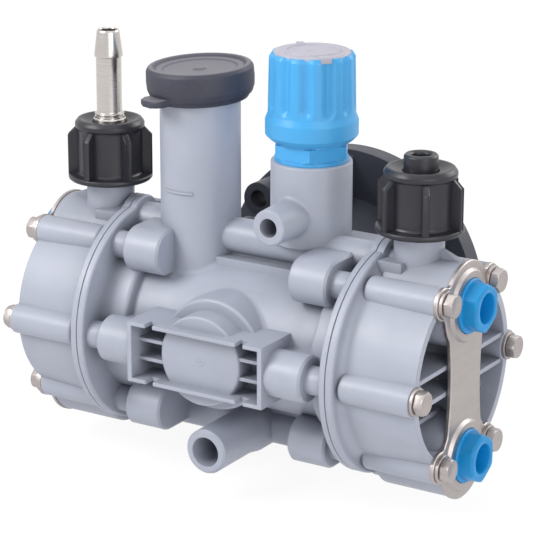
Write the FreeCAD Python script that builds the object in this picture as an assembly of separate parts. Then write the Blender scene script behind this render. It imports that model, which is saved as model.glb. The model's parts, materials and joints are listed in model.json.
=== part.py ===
import FreeCAD
import Part
import math
import os

# Opposed two-diaphragm pump with regulator, oil filler and motor flange, in millimetres.
# X runs along the two heads, Y from the front bracket to the motor flange, Z up.
# Everything is drawn from the crossing of the crankshaft axis (Y) and the diaphragm axis (X),
# and is moved at the end so that the origin is the middle of the motor face.

Vector = FreeCAD.Vector

# Fits and running clearances
FIT = 0.05                  # parts of one body that seat in each other
RUN = 0.08                  # radial clearance of a part that turns or slides in a bore
GAP = 0.3                   # free gap between parts that move apart

# Crankcase barrel and its two diaphragm flanges
BARREL_R = 33.0
CAVITY_R = 29.0
CAVITY_END_R = 30.0
COLLAR_R = 37.5
COLLAR_X = 48.0
FLANGE_R = 51.4
FLANGE_T = 2.6
PARTING_X = 64.8            # middle plane of each diaphragm
DIAPHRAGM_T = 1.6
LIP_W = 1.5                 # lips that close round the diaphragm's edge
LIP_GAP = 0.5
RECESS_R = 38.0             # free radius of the diaphragm
RECESS_DEPTH = 7.5

# Head screws
SCREW_CIRCLE_R = 42.7
SCREW_COUNT = 6
SCREW_R = 3.0
SCREW_HOLE_R = 3.3
SCREW_LENGTH = 68.0
HEX_FLATS = 10.0
HEX_HEIGHT = 4.0
WASHER_R = 6.25
WASHER_T = 1.6
NUT_HEIGHT = 5.0
NUT_INSET = 4.0             # from the inner end of the boss to the moulded-in nut

# Stepped screw bosses of the crankcase
BOSS_R = 10.5
BOSS_NECK_R = 6.3
BOSS_X0 = 34.0
BOSS_X1 = 53.0
BOSS_CHAMFER = 1.0
BOSS_END_WALL = 2.4
BOSS_WEB_Z = 8.4
BOSS_ROOT = 2.0             # how far a boss runs into its neighbour

# Manifolds that join the two heads above and below the barrel
MANIFOLD_R = 8.0
MANIFOLD_Z = 43.7
MANIFOLD_WEB_T = 6.0
PASSAGE_R = 4.0
PASSAGE_Z = 45.0
EAR_R = 11.0
LEDGE_X0 = -20.0
LEDGE_X1 = 34.0
LEDGE_Y = -10.5
LEDGE_Z = 35.5

# Suction spigot, a hose stub at the front
SPIGOT_R = 10.25
SPIGOT_BORE_R = 6.8
SPIGOT_END_Y = -44.9
SPIGOT_LEAD = 1.0
SPIGOT_SEAT_END_Y = -16.0
SPIGOT_ROOT_Y = -9.0
SPIGOT_ROOT_R = 11.5

# Oil filler tube
FILLER_X = -31.2
FILLER_R = 18.2
FILLER_WALL = 3.0
FILLER_TOP_Z = 114.8
LEVEL_LINE_Z = 64.0
LEVEL_LINE_T = 1.2

# Front bearing boss and its collar
FRONT_BOSS_R = 20.5
FRONT_BOSS_Y = -49.0
FRONT_COLLAR_R = 25.5
FRONT_COLLAR_Y = -BARREL_R - 5.5
FRONT_BEARING_END_Y = -46.0
FRONT_RELIEF_R = 12.5

# Front bracket frame
FRAME_X = 35.0
FRAME_Z = 14.0
FRAME_Y = -54.0
FRAME_END_WALL = 2.2
FRAME_WALL = 1.8
FRAME_FLOOR_Y = -37.0
FRAME_BACK_Y = -22.0
NOTCH_X0 = 21.5
NOTCH_X1 = 25.5
NOTCH_DEPTH = 5.5
POCKET_RIB_Z = 4.4
POCKET_RIB_T = 1.6
POCKET_RIB_Y = -48.0

# Rear boss that takes the drive flange
REAR_BOSS_R = 40.0
REAR_BOSS_Y = 36.0
REAR_BOSS_START_Y = 4.0
REAR_OPENING_R = 31.0
SPIGOT_FIT_R = 34.0
LUG_CIRCLE_R = 45.0
LUG_R = 7.0
LUG_DEPTH = 13.0
LUG_ANGLES = (45, 135, 225, 315)

# Regulator housing and bypass nozzle
REG_X = 24.0
REG_Y = 5.0
REG_R = 18.1
REG_Z0 = 46.0
REG_Z1 = 83.0
REG_BORE_R = 13.0
REG_BORE_Z = 70.0
REG_CHAMBER_R = 9.5
REG_CHAMBER_Z = 56.0
REG_SEAT_R = 8.5
REG_SEAT_Z = 52.0
REG_PORT_R = 3.6
NOZZLE_Z = 60.0
NOZZLE_END_Y = -31.0
NOZZLE_R = 8.0
NOZZLE_ROOT_R = 9.6
NOZZLE_BORE_R = 4.25

# Heads
HEAD_LENGTH = 38.0
HEAD_FLANGE_T = 2.8
HEAD_ROOT_R = 44.8
HEAD_END_R = 43.2
HEAD_WALL = 3.4
HEAD_FLANGE_FILLET = 4.0
HEAD_BOSS_R = 7.0
CHAMBER_DEPTH = 6.5
CHAMBER_END_R = 34.0
CUP_DEPTH = 26.6
WEB_T = 2.0
WEB_Z = 6.0
WEB_INSET = 1.0
DEEP_WEB_Z = 18.0
DEEP_WEB_INSET = 9.0
LUG_X_LENGTH = 14.5
LUG_Y0 = -14.0
LUG_Y1 = -4.0
LUG_TOP_Z = 48.5

# Valve pockets, one above and one below the pump axis in each head
DELIVERY_Z = 30.9
SUCTION_Z = -37.7
VALVE_BARREL_R = 19.2
VALVE_ROOT_R = 17.0
VALVE_BARREL_ROUND = 2.0
POCKET_R = 11.3
PLENUM_R = 8.8
PLENUM_DEPTH = 2.0
CHAMBER_WALL = 2.0
PLUG_SEAT_DEPTH = 3.0
PLUG_FLANGE_R = 13.2
DELIVERY_PORT_Z = 28.0
DELIVERY_PORT_R = 5.5
SUCTION_PORT_R = 4.0
SUCTION_PORT_OVERLAP = 1.8
VALVE_SEAT_T = 3.5
VALVE_SEAT_HOLE_R = 6.5
CAGE_WALL = 1.8
CAGE_PLATE_T = 3.0
CAGE_HUB_R = 3.6
CAGE_HUB_LENGTH = 7.0
POPPET_R = 8.6
POPPET_T = 2.5
POPPET_STEM_R = 2.0
POPPET_LIFT = 2.5
POPPET_STEM_END_GAP = 0.5
VALVE_SPRING_R = 5.2
VALVE_WIRE_R = 0.45
VALVE_SPRING_TURNS = 4
STEPS_PER_TURN = 12

# Blue valve plugs
PLUG_BASE_R = 12.1
PLUG_BASE_LENGTH = 4.6
PLUG_FLATS = 20.5
PLUG_CORNER_R = 11.3
PLUG_PROUD = 9.4
PLUG_SOCKET_R = 6.7
PLUG_SOCKET_DEPTH = 8.0
PLUG_NOSE_LENGTH = 3.6
PLUG_SEAL_R = 1.0
PLUG_GROOVE_INSET = 0.8

# Stainless clamp plates
PLATE_T = 1.8
PLATE_ARCH_R = 19.8
PLATE_EAR_R = 7.2
PLATE_WAIST = 13.5
EMBOSS_H = 1.5              # ring pressed up round each plug
EMBOSS_R = 15.2
EMBOSS_ROOT_R = 16.7
PLATE_HOLE_CLEARANCE = 0.2

# Outlet necks, gussets, union nuts and tails
NECK_X = 81.2
NECK_R = 11.0
NECK_Z = 60.0
THREAD_R = 10.4
NECK_TOP_Z = 80.5
NECK_BORE_R = 4.9
GUSSET_T = 3.6
GUSSET_Z = 58.5
GUSSET_INSET = 0.6
UNION_TOP_Z = 88.9
UNION_TOP_T = 2.9
UNION_BODY_R = 15.0
UNION_BAND_R = 16.0
UNION_BAND_T = 4.2
UNION_RING_R = 19.4
UNION_RING_T = 2.6
UNION_RING_CHAMFER = 0.8
UNION_TOP_CHAMFER = 1.7
UNION_HOLE_R = 7.8
UNION_BORE_R = 10.5
WING_R = 18.8
WING_T = 3.0
WING_COUNT = 6
WING_FIRST = {"left": -89.0, "right": -114.0}
TAIL_FLANGE_R = 10.2
TAIL_FLANGE_T = 3.2
GASKET_T = 2.0
TAIL_R = 7.5
TAIL_BORE_R = 4.15
TAIL_TOP_Z = 94.5
BARB_COLLAR_R = 6.85
BARB_COLLAR_Z = 91.6
BARB_SHAFT_R = 5.8
BARB_STEP_Z = 117.5
BARB_LEAD = 0.7
BARB_CONE_R = 6.5
BARB_TIP_R = 5.1
BARB_TIP_Z = 130.0
BARB_BORE_R = 4.0

# Yoke, rods, guides and diaphragm discs
STROKE = 3.0                # travel of the yoke each way, equal to the crank's throw
YOKE_HALF_Y = 6.0
YOKE_END_WALL = 5.0
YOKE_RAIL_T = 2.8
YOKE_CORNER_R = 4.0
ROD_R = 7.0
GUIDE_X0 = 42.0
GUIDE_T = 10.0
GUIDE_HOLE_R = 3.0
GUIDE_HOLE_CIRCLE_R = 19.0
GUIDE_HOLE_COUNT = 6
DISC_R = 26.0
DISC_T = 2.5
DISC_EASING = 0.8
CENTRE_SCREW_R = 4.0
CENTRE_SCREW_HEAD_R = 7.5
CENTRE_SCREW_HEAD_T = 2.3
CENTRE_SCREW_LENGTH = 20.0
ROLL_R = 3.0                # height of the diaphragm's rolled fold

# Crankshaft and bearings (rolling bearings of 12x32x10, 20x42x12 and 35x62x14)
JOURNAL_R = 6.0
SHAFT_FRONT_R = 6.8
ECCENTRIC_R = 10.0
ECCENTRIC_HALF = 8.0
CHEEK_R = 14.0
CHEEK_T = 3.0
SHAFT_MID_R = 13.0
SHAFT_SHOULDER_R = 20.0
SHAFT_SHOULDER_T = 4.0
SHAFT_REAR_R = 17.5
DRIVE_BORE_R = 12.0
DRIVE_BORE_DEPTH = 50.0
KEYWAY_W = 8.0
KEYWAY_TOP = 15.3
FRONT_BEARING = {"bore_r": 6.0, "outer_r": 16.0, "width": 10.0, "balls": 7, "ball_r": 2.9}
CAM_BEARING = {"bore_r": 10.0, "outer_r": 21.0, "width": 12.0, "balls": 8, "ball_r": 3.2}
REAR_BEARING = {"bore_r": 17.5, "outer_r": 31.0, "width": 14.0, "balls": 9, "ball_r": 4.0}
BEARING_LAND_SHARE = 0.29   # share of the ring space that each ring takes
SEAL_OUTER_R = 26.0
SEAL_T = 7.0

# Drive flange for a 90-frame motor with the small face: 115 mm bolt circle, 95 mm spigot
MOTOR_FACE_Y = 90.0
MOTOR_FACE_R = 67.5
MOTOR_FACE_T = 10.0
MOTOR_PILOT_R = 47.5
MOTOR_PILOT_DEPTH = 3.5
MOTOR_CIRCLE_R = 57.5
MOTOR_HOLE_R = 4.5
MOTOR_BOSS_R = 8.25
MOTOR_BOSS_Y = 64.0
HUB_R = 38.0
HUB_END_R = 44.0
HUB_COLLAR_R = 43.0
RELIEF_X = BOSS_X0 - 0.8        # room at each side of the hub for the crankcase's mid bosses
RELIEF_Z = BOSS_R + 1.5
RELIEF_Y = SCREW_CIRCLE_R + BOSS_R + 1.0
HUB_RIB_T = 4.0
HUB_RIB_COUNT = 4
FLANGE_SPIGOT_LENGTH = 5.0
SPIGOT_END_GAP = 0.5
FLANGE_LUG_T = 7.0
SEAL_GAP = 2.0
RIM_T = 3.0
FLANGE_SCREW_LENGTH = 18.0

# Regulator bonnet, knob and inner parts
BONNET_FLATS = 31.0
BONNET_RING_R = 16.4
BONNET_RING_T = 1.6
BONNET_HEX_T = 6.4
BONNET_TURN = -62.0
BONNET_EASING = 1.4
BONNET_COLLAR_T = 1.0
BONNET_SPIGOT_LENGTH = 12.0
BONNET_TUBE_R = 12.0
BONNET_TUBE_Z = 104.0
KNOB_Z0 = 92.3
KNOB_Z1 = 131.0
KNOB_R = 19.4
KNOB_TOP_R = 18.9
KNOB_CHAMFER = 1.4
SKIRT_R = 20.6
SKIRT_CHAMFER = 2.0
SKIRT_Z = 101.5
SKIRT_TAPER = 2.2
FLUTE_COUNT = 12
FLUTE_R = 3.0
FLUTE_DEPTH = 1.1
FLUTE_FIRST = 23.0
KNOB_CAVITY_TOP_Z = 105.5
INSERT_R = 17.0
INSERT_T = 3.0
INSERT_PROUD = 1.0
INSERT_RING_R = 12.5
INSERT_RING_W = 1.5
POINTER_W = 5.0
POINTER_LENGTH = 3.4
POINTER_ANGLE = -62.0
SPINDLE_R = 4.0
SPINDLE_Z0 = 96.0
SPINDLE_HEAD_R = 8.0
SPINDLE_HEAD_T = 3.0
SPRING_SEAT_R = 9.0
SPRING_SEAT_Z0 = 90.0
SPRING_SEAT_T = 4.0
SPRING_SEAT_TUBE_R = 6.0
SPRING_SEAT_TUBE_T = 6.0
REG_SEAT_T = 4.0
REG_SEAT_HOLE_R = 4.0
REG_SEAT_SINK = 1.5
REG_POPPET_R = 6.0
REG_POPPET_STEM_R = 3.0
REG_PLATE_R = 9.0
REG_PLATE_Z = 70.0
REG_PLATE_T = 2.5
REG_SPRING_R = 7.0
REG_WIRE_R = 1.2
REG_SPRING_TURNS = 5

# Rubber filler cap, set on the tube a little askew
CAP_R = 24.3
CAP_WALL_R = 19.5
CAP_HEIGHT = 13.5
CAP_TOP_T = 4.0
CAP_DISH = 1.6
CAP_RIM_W = 3.4
CAP_EDGE_R = 1.6
CAP_BUMP_R = 2.6
CAP_LIP_R = 21.6
CAP_LIP_T = 2.0
CAP_TILT = 3.0
CAP_TILT_AXIS = (-0.56, 0.83)   # horizontal axis of the tilt, about the line of sight in the plan
TAB_ANGLE = -112.0
TAB_REACH = 29.5
TAB_W = 14.0
TAB_T = 3.0
TAB_DROP = 1.2
TAB_ROOT = 1.5
TAB_CORNER_R = 4.0

# Places worked out from the driving dimensions
FLANGE_FACE_X = PARTING_X - DIAPHRAGM_T / 2
FLANGE_BACK_X = FLANGE_FACE_X - FLANGE_T
FLANGE_LIP_X = PARTING_X - LIP_GAP / 2
HEAD_FACE_X = PARTING_X + DIAPHRAGM_T / 2
HEAD_LIP_X = PARTING_X + LIP_GAP / 2
HEAD_END_X = HEAD_FACE_X + HEAD_LENGTH
PLATE_FACE_X = HEAD_END_X + PLATE_T
CHAMBER_X = HEAD_FACE_X + CHAMBER_DEPTH
PLENUM_X = CHAMBER_X + CHAMBER_WALL
VALVE_X = PLENUM_X + PLENUM_DEPTH
CAGE_X0 = VALVE_X + VALVE_SEAT_T
PLUG_SEAT_X = HEAD_END_X - PLUG_SEAT_DEPTH
PLUG_NOSE_X = PLUG_SEAT_X - PLUG_NOSE_LENGTH
CAGE_PLATE_X = PLUG_NOSE_X - CAGE_PLATE_T
CUP_FLOOR_X = HEAD_END_X - CUP_DEPTH
SUCTION_PORT_Z = SUCTION_Z + POCKET_R + SUCTION_PORT_R - SUCTION_PORT_OVERLAP
PLUG_FLANGE_END_X = HEAD_END_X + EMBOSS_H
YOKE_SLOT_X = CAM_BEARING["outer_r"] + 2 * STROKE + GAP
YOKE_SLOT_Z = CAM_BEARING["outer_r"] + STROKE + GAP
YOKE_END_X = YOKE_SLOT_X + YOKE_END_WALL
INNER_DISC_X = FLANGE_FACE_X - DISC_T
OUTER_DISC_X = HEAD_FACE_X + DISC_T
SHOULDER_Y = REAR_BOSS_Y + 1.0
REAR_BEARING_Y = SHOULDER_Y + SHAFT_SHOULDER_T
SEAL_Y = REAR_BEARING_Y + REAR_BEARING["width"] + SEAL_GAP
SHAFT_END_Y = MOTOR_FACE_Y - 4.0
SIDES = {"left": -1, "right": 1}
DIRECTIONS = {"x": Vector(1, 0, 0), "y": Vector(0, 1, 0), "z": Vector(0, 0, 1)}


# Shape helpers

def point(axis, along, a=0.0, b=0.0):
    """A point that lies `along` the named axis and at a, b on the other two, in X, Y, Z order."""
    if axis == "x":
        return Vector(along, a, b)
    if axis == "y":
        return Vector(a, along, b)
    return Vector(a, b, along)


def cylinder(axis, start, end, radius, a=0.0, b=0.0):
    return Part.makeCylinder(radius, end - start, point(axis, start, a, b), DIRECTIONS[axis])


def tube(axis, start, end, outer, inner, a=0.0, b=0.0):
    return cylinder(axis, start, end, outer, a, b).cut(cylinder(axis, start, end, inner, a, b))


def cone(axis, start, end, radius0, radius1, a=0.0, b=0.0):
    return Part.makeCone(radius0, radius1, end - start, point(axis, start, a, b), DIRECTIONS[axis])


def block(x0, x1, y0, y1, z0, z1):
    return Part.makeBox(x1 - x0, y1 - y0, z1 - z0, Vector(x0, y0, z0))


def turned(axis, profile, a=0.0, b=0.0):
    """Solid of revolution from a closed list of (along, radius) corners."""
    if axis == "z":
        corners = [point(axis, along, a + radius, b) for along, radius in profile]
    else:
        corners = [point(axis, along, a, b + radius) for along, radius in profile]
    face = Part.Face(Part.makePolygon(corners + corners[:1]))
    return face.revolve(point(axis, 0, a, b), DIRECTIONS[axis], 360)


def prism(axis, start, end, corners):
    """Prism along an axis over a closed outline of (a, b) corners."""
    outline = [point(axis, start, a, b) for a, b in corners]
    face = Part.Face(Part.makePolygon(outline + outline[:1]))
    return face.extrude(DIRECTIONS[axis] * (end - start))


def hexagon(axis, start, end, flats, a=0.0, b=0.0, turn=0.0):
    corner_r = flats / math.sqrt(3)
    angles = [math.radians(turn + 60 * i) for i in range(6)]
    corners = [(a + corner_r * math.cos(t), b + corner_r * math.sin(t)) for t in angles]
    return prism(axis, start, end, corners)


def merged(shapes):
    return shapes[0].multiFuse(shapes[1:])


def join(shapes):
    """Union with its coplanar faces made one."""
    return merged(shapes).removeSplitter()


def on_circle(radius, angle):
    return radius * math.cos(math.radians(angle)), radius * math.sin(math.radians(angle))


def screw_places():
    """(y, z) of each head screw, from the rear one round over the top."""
    return [on_circle(SCREW_CIRCLE_R, i * 360 / SCREW_COUNT) for i in range(SCREW_COUNT)]


def blended(shape, radius, chosen):
    """Round the edges that `chosen` picks."""
    return shape.makeFillet(radius, [edge for edge in shape.Edges if chosen(edge)])


def side_copy(shape, side):
    """The right-hand shape itself, or its mirror image for the left."""
    if side == "right":
        return shape
    return shape.mirror(Vector(0, 0, 0), DIRECTIONS["x"])


# Crankcase

def crankcase_core():
    """Barrel, filler tube and front collar with their blended roots."""
    reach = FLANGE_BACK_X + FLANGE_T / 3
    barrel = cylinder("x", -reach, reach, BARREL_R)
    filler = cylinder("z", 0, FILLER_TOP_Z, FILLER_R, FILLER_X, 0)
    collar = cylinder("y", FRONT_COLLAR_Y, 0, FRONT_COLLAR_R)
    core = join([barrel, filler, collar])

    def is_root(edge):
        curved = not isinstance(edge.Curve, (Part.Line, Part.Circle))
        return curved and edge.Length > FILLER_R

    core = blended(core, 3.0, is_root)

    def is_collar_edge(edge):
        return isinstance(edge.Curve, Part.Circle) and abs(edge.CenterOfMass.y - FRONT_COLLAR_Y) < 0.01

    return blended(core, 1.5, is_collar_edge)


def rim_outline(change, x0, x1):
    """Round plate with two manifold ears, grown or shrunk by `change`."""
    plate = cylinder("x", x0, x1, FLANGE_R + change)
    return join([plate] + [cylinder("x", x0, x1, EAR_R + change, 0, s * MANIFOLD_Z) for s in (1, -1)])


def diaphragm_flange():
    """Right-hand flange of the crankcase with its collar, manifold ears and lip."""
    collar = cylinder("x", COLLAR_X, FLANGE_BACK_X, COLLAR_R)
    collar = blended(collar, 2.0, lambda edge: abs(edge.CenterOfMass.x - COLLAR_X) < 0.01)
    rim = rim_outline(0, FLANGE_BACK_X, FLANGE_LIP_X)
    rim = blended(rim, 1.2, lambda edge: abs(edge.CenterOfMass.x - FLANGE_BACK_X) < 0.01)
    return join([collar, rim]).cut(rim_outline(-LIP_W, FLANGE_FACE_X, FLANGE_LIP_X + 1))


def stadium(x0, x1, half_y, z, radius):
    """Bar along X with a round front and rear, its flat top and bottom 2 radii apart."""
    corners = [Vector(x0, -half_y, z - radius), Vector(x0, half_y, z - radius),
               Vector(x0, half_y, z + radius), Vector(x0, -half_y, z + radius)]
    edges = [Part.makeLine(corners[0], corners[1]),
             Part.Arc(corners[1], Vector(x0, half_y + radius, z), corners[2]).toShape(),
             Part.makeLine(corners[2], corners[3]),
             Part.Arc(corners[3], Vector(x0, -half_y - radius, z), corners[0]).toShape()]
    return Part.Face(Part.Wire(edges)).extrude(Vector(x1 - x0, 0, 0))


def screw_bosses():
    """Right-hand stepped bosses: paired ones above and below, single ones at mid height."""
    places = screw_places()
    bosses = []
    for y, z in places:
        if abs(z) < 1:
            large = cylinder("x", BOSS_X0, BOSS_X1, BOSS_R, y, z)
            y0, y1 = sorted((y, math.copysign(BARREL_R - 5, y)))
            web = block(BOSS_X0 + BOSS_CHAMFER, BOSS_X1 - BOSS_CHAMFER, y0, y1, -BOSS_WEB_Z, BOSS_WEB_Z)
            bosses.append(web)
        elif y > 0:
            large = stadium(BOSS_X0, BOSS_X1, y, z, BOSS_R)
        else:
            continue
        rims = [edge for edge in large.Edges if edge.BoundBox.XLength < 0.01]
        bosses.append(large.makeChamfer(BOSS_CHAMFER, rims))
    neck_x0 = BOSS_X1 - BOSS_ROOT
    bosses += [cylinder("x", neck_x0, FLANGE_FACE_X - FLANGE_T / 3, BOSS_NECK_R, y, z) for y, z in places]
    return bosses


def bracket_frame():
    """Open rectangular frame at the front, its end walls cut free by notches in the long walls."""
    outer = block(-FRAME_X, FRAME_X, FRAME_Y, FRAME_BACK_Y, -FRAME_Z, FRAME_Z)
    inner_x = FRAME_X - FRAME_END_WALL
    inner_z = FRAME_Z - FRAME_WALL
    frame = outer.cut(block(-inner_x, inner_x, FRAME_Y, FRAME_FLOOR_Y, -inner_z, inner_z))
    for side in (-1, 1):
        x0, x1 = sorted((side * NOTCH_X0, side * NOTCH_X1))
        frame = frame.cut(block(x0, x1, FRAME_Y, FRAME_Y + NOTCH_DEPTH, -FRAME_Z, FRAME_Z))
    ribs = [block(-inner_x - 1, inner_x + 1, POCKET_RIB_Y, FRAME_FLOOR_Y + 1,
                  z - POCKET_RIB_T / 2, z + POCKET_RIB_T / 2) for z in (-POCKET_RIB_Z, POCKET_RIB_Z)]
    boss = cylinder("y", FRONT_BOSS_Y, 0, FRONT_BOSS_R)
    boss = blended(boss, 1.2, lambda edge: abs(edge.CenterOfMass.y - FRONT_BOSS_Y) < 0.01)
    return join([frame, boss] + ribs)


def regulator_housing():
    """Upright housing on the delivery manifold with the bypass nozzle."""
    housing = cylinder("z", REG_Z0, REG_Z1, REG_R, REG_X, REG_Y)
    nozzle = cone("y", NOZZLE_END_Y, REG_Y, NOZZLE_R, NOZZLE_ROOT_R, REG_X, NOZZLE_Z)
    body = join([housing, nozzle])
    body = blended(body, 1.8, lambda edge: not isinstance(edge.Curve, (Part.Line, Part.Circle)))
    rims = blended(body, 1.0, lambda edge: isinstance(edge.Curve, Part.Circle) and edge.Length > 30)
    return rims


def spigot():
    """Hose stub with a lead-in and a thicker root."""
    return turned("y", [(SPIGOT_END_Y, 0), (SPIGOT_END_Y, SPIGOT_R - SPIGOT_LEAD),
                        (SPIGOT_END_Y + SPIGOT_LEAD, SPIGOT_R), (SPIGOT_SEAT_END_Y, SPIGOT_R),
                        (SPIGOT_ROOT_Y, SPIGOT_ROOT_R), (0, SPIGOT_ROOT_R), (0, 0)], 0, -MANIFOLD_Z)


def crankcase_cavities():
    """Everything that is hollow in the crankcase, as cutting solids."""
    end = FLANGE_FACE_X + 1
    half = [(GUIDE_X0, CAVITY_R), (GUIDE_X0, CAVITY_END_R), (FLANGE_FACE_X - RECESS_DEPTH, CAVITY_END_R),
            (FLANGE_FACE_X, RECESS_R), (end, RECESS_R), (end, 0)]
    cavities = [turned("x", [(-x, r) for x, r in reversed(half)] + half)]
    for side in (-1, 1):
        for y, z in screw_places():
            start, stop = sorted((side * (BOSS_X0 + BOSS_END_WALL), side * end))
            cavities.append(cylinder("x", start, stop, SCREW_HOLE_R, y, z))
            nut_x = BOSS_X0 + NUT_INSET
            start, stop = sorted((side * (nut_x - FIT), side * (nut_x + NUT_HEIGHT + FIT)))
            cavities.append(hexagon("x", start, stop, HEX_FLATS + 2 * FIT, y, z, 30))
    cavities.append(cylinder("y", FRONT_BEARING_END_Y, 2, FRONT_BEARING["outer_r"] + FIT))
    cavities.append(cylinder("y", FRONT_BEARING_END_Y - 1, 2, FRONT_RELIEF_R))
    cavities.append(cylinder("y", -2, REAR_BOSS_Y + 1, REAR_OPENING_R))
    spigot_floor_y = REAR_BOSS_Y - FLANGE_SPIGOT_LENGTH - SPIGOT_END_GAP
    cavities.append(cylinder("y", spigot_floor_y, REAR_BOSS_Y + 1, SPIGOT_FIT_R + FIT))
    for angle in LUG_ANGLES:
        x, z = on_circle(LUG_CIRCLE_R, angle)
        cavities.append(cylinder("y", REAR_BOSS_Y - LUG_DEPTH, REAR_BOSS_Y + 1, SCREW_R + FIT, x, z))
    for z in (PASSAGE_Z, -PASSAGE_Z):
        cavities.append(cylinder("x", -end, end, PASSAGE_R, 0, z))
    cavities.append(cylinder("y", SPIGOT_END_Y - 1, PASSAGE_R, SPIGOT_BORE_R, 0, -MANIFOLD_Z))
    cavities.append(cylinder("z", REG_BORE_Z, REG_Z1 + 1, REG_BORE_R, REG_X, REG_Y))
    cavities.append(cylinder("z", REG_CHAMBER_Z, REG_BORE_Z, REG_CHAMBER_R, REG_X, REG_Y))
    cavities.append(cylinder("z", REG_SEAT_Z, REG_CHAMBER_Z, REG_SEAT_R + FIT, REG_X, REG_Y))
    cavities.append(cylinder("z", PASSAGE_Z, REG_SEAT_Z, REG_PORT_R, REG_X, REG_Y))
    cavities.append(cylinder("y", NOZZLE_END_Y - 1, REG_Y, NOZZLE_BORE_R, REG_X, NOZZLE_Z))
    return cavities


def crankcase():
    pieces = [crankcase_core(), bracket_frame()]
    for side in SIDES:
        pieces += [side_copy(shape, side) for shape in [diaphragm_flange()] + screw_bosses()]
    pieces.append(cylinder("y", REAR_BOSS_START_Y, REAR_BOSS_Y, REAR_BOSS_R))
    for angle in LUG_ANGLES:
        x, z = on_circle(LUG_CIRCLE_R, angle)
        pieces.append(cylinder("y", REAR_BOSS_Y - LUG_DEPTH - 2, REAR_BOSS_Y, LUG_R, x, z))
    reach = FLANGE_BACK_X + FLANGE_T / 2
    pieces.append(cylinder("x", -reach, reach, MANIFOLD_R, 0, -MANIFOLD_Z))
    pieces.append(spigot())
    pieces.append(block(LEDGE_X0, LEDGE_X1, LEDGE_Y, 0, BARREL_R - 5, LEDGE_Z))
    for z0, z1 in ((-MANIFOLD_Z, -BARREL_R + 2), (BARREL_R - 2, MANIFOLD_Z)):
        pieces.append(block(-reach, reach, -MANIFOLD_WEB_T / 2, MANIFOLD_WEB_T / 2, z0, z1))
    body = merged(pieces)
    body = body.cut(cylinder("z", 0, FILLER_TOP_Z + 1, FILLER_R - FILLER_WALL, FILLER_X, 0))
    delivery = cylinder("x", -reach, reach, MANIFOLD_R, 0, MANIFOLD_Z)
    level = tube("z", LEVEL_LINE_Z, LEVEL_LINE_Z + LEVEL_LINE_T, FILLER_R + 0.5, FILLER_R - 1, FILLER_X, 0)
    level = level.common(block(FILLER_X - 8, FILLER_X + 7, -2 * FILLER_R, 0, 0, FILLER_TOP_Z))
    body = merged([body, delivery, level, regulator_housing()])
    return body.cut(crankcase_cavities())


# Head mouldings

def valve_barrels(radius, x0, x1):
    return [cylinder("x", x0, x1, radius, 0, z) for z in (DELIVERY_Z, SUCTION_Z)]


def head_webs():
    """Stiffening webs of the end cup, level with the rim or set back."""
    webs = []
    for z, inset in ((WEB_Z, WEB_INSET), (DEEP_WEB_Z, DEEP_WEB_INSET)):
        for s in (1, -1):
            x1 = HEAD_END_X - inset
            z0 = s * z - WEB_T / 2
            webs.append(block(CUP_FLOOR_X, x1, -HEAD_END_R, HEAD_END_R, z0, z0 + WEB_T))
    webs.append(block(CUP_FLOOR_X, HEAD_END_X - WEB_INSET, -WEB_T / 2, WEB_T / 2, SUCTION_Z, DELIVERY_Z))
    return webs


def head_body():
    """Outer form of the right head, solid."""
    x_step = HEAD_FACE_X + HEAD_FLANGE_T
    shell = turned("x", [(HEAD_LIP_X, 0), (HEAD_LIP_X, FLANGE_R), (x_step, FLANGE_R),
                         (x_step, HEAD_ROOT_R), (HEAD_END_X, HEAD_END_R), (HEAD_END_X, 0)])
    shell = blended(shell, HEAD_FLANGE_FILLET, lambda e: abs(e.BoundBox.ZMax - HEAD_ROOT_R) < 0.01
                    and abs(e.CenterOfMass.x - x_step) < 0.01 and isinstance(e.Curve, Part.Circle))
    shell = blended(shell, 1.2, lambda e: abs(e.BoundBox.ZMax - FLANGE_R) < 0.01
                    and abs(e.CenterOfMass.x - x_step) < 0.01)
    bosses = []
    for y, z in screw_places():
        boss = cylinder("x", x_step + 1, HEAD_END_X, HEAD_BOSS_R, y, z)
        bosses.append(blended(boss, 2.0, lambda e: abs(e.CenterOfMass.x - x_step - 1) < 0.01))
    ears = [cylinder("x", HEAD_LIP_X, x_step, EAR_R, 0, s * MANIFOLD_Z) for s in (1, -1)]
    barrels = [blended(barrel, VALVE_BARREL_ROUND, lambda e: abs(e.CenterOfMass.x - x_step - 2) < 0.01)
               for barrel in valve_barrels(VALVE_BARREL_R, x_step + 2, HEAD_END_X)]
    elbows = [cylinder("x", HEAD_FACE_X, NECK_X, MANIFOLD_R, 0, s * MANIFOLD_Z) for s in (1, -1)]
    neck = cylinder("z", DELIVERY_Z, NECK_Z, NECK_R, NECK_X, 0)
    thread = cylinder("z", NECK_Z, NECK_TOP_Z, THREAD_R, NECK_X, 0)
    barrel_top = DELIVERY_Z + VALVE_BARREL_R
    gusset_foot = DELIVERY_Z + POCKET_R + 2
    gusset_end = HEAD_END_X - GUSSET_INSET
    gusset = prism("y", -GUSSET_T / 2, GUSSET_T / 2,
                   [(NECK_X, GUSSET_Z), (gusset_end, barrel_top - GUSSET_INSET), (gusset_end, gusset_foot),
                    (NECK_X, gusset_foot)])
    saddle_top = MANIFOLD_Z + MANIFOLD_R - 2
    saddle = prism("y", -GUSSET_T, GUSSET_T,
                   [(HEAD_FACE_X + 2, saddle_top), (NECK_X, GUSSET_Z - 2), (NECK_X, MANIFOLD_Z)])
    lug = block(HEAD_FACE_X, HEAD_FACE_X + LUG_X_LENGTH, LUG_Y0, LUG_Y1, HEAD_END_R - 8, LUG_TOP_Z)
    roots = valve_barrels(VALVE_ROOT_R, HEAD_FACE_X, HEAD_END_X - 1)
    return join([shell] + bosses + ears + elbows + roots + barrels + [neck, thread, gusset, saddle, lug])


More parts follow.
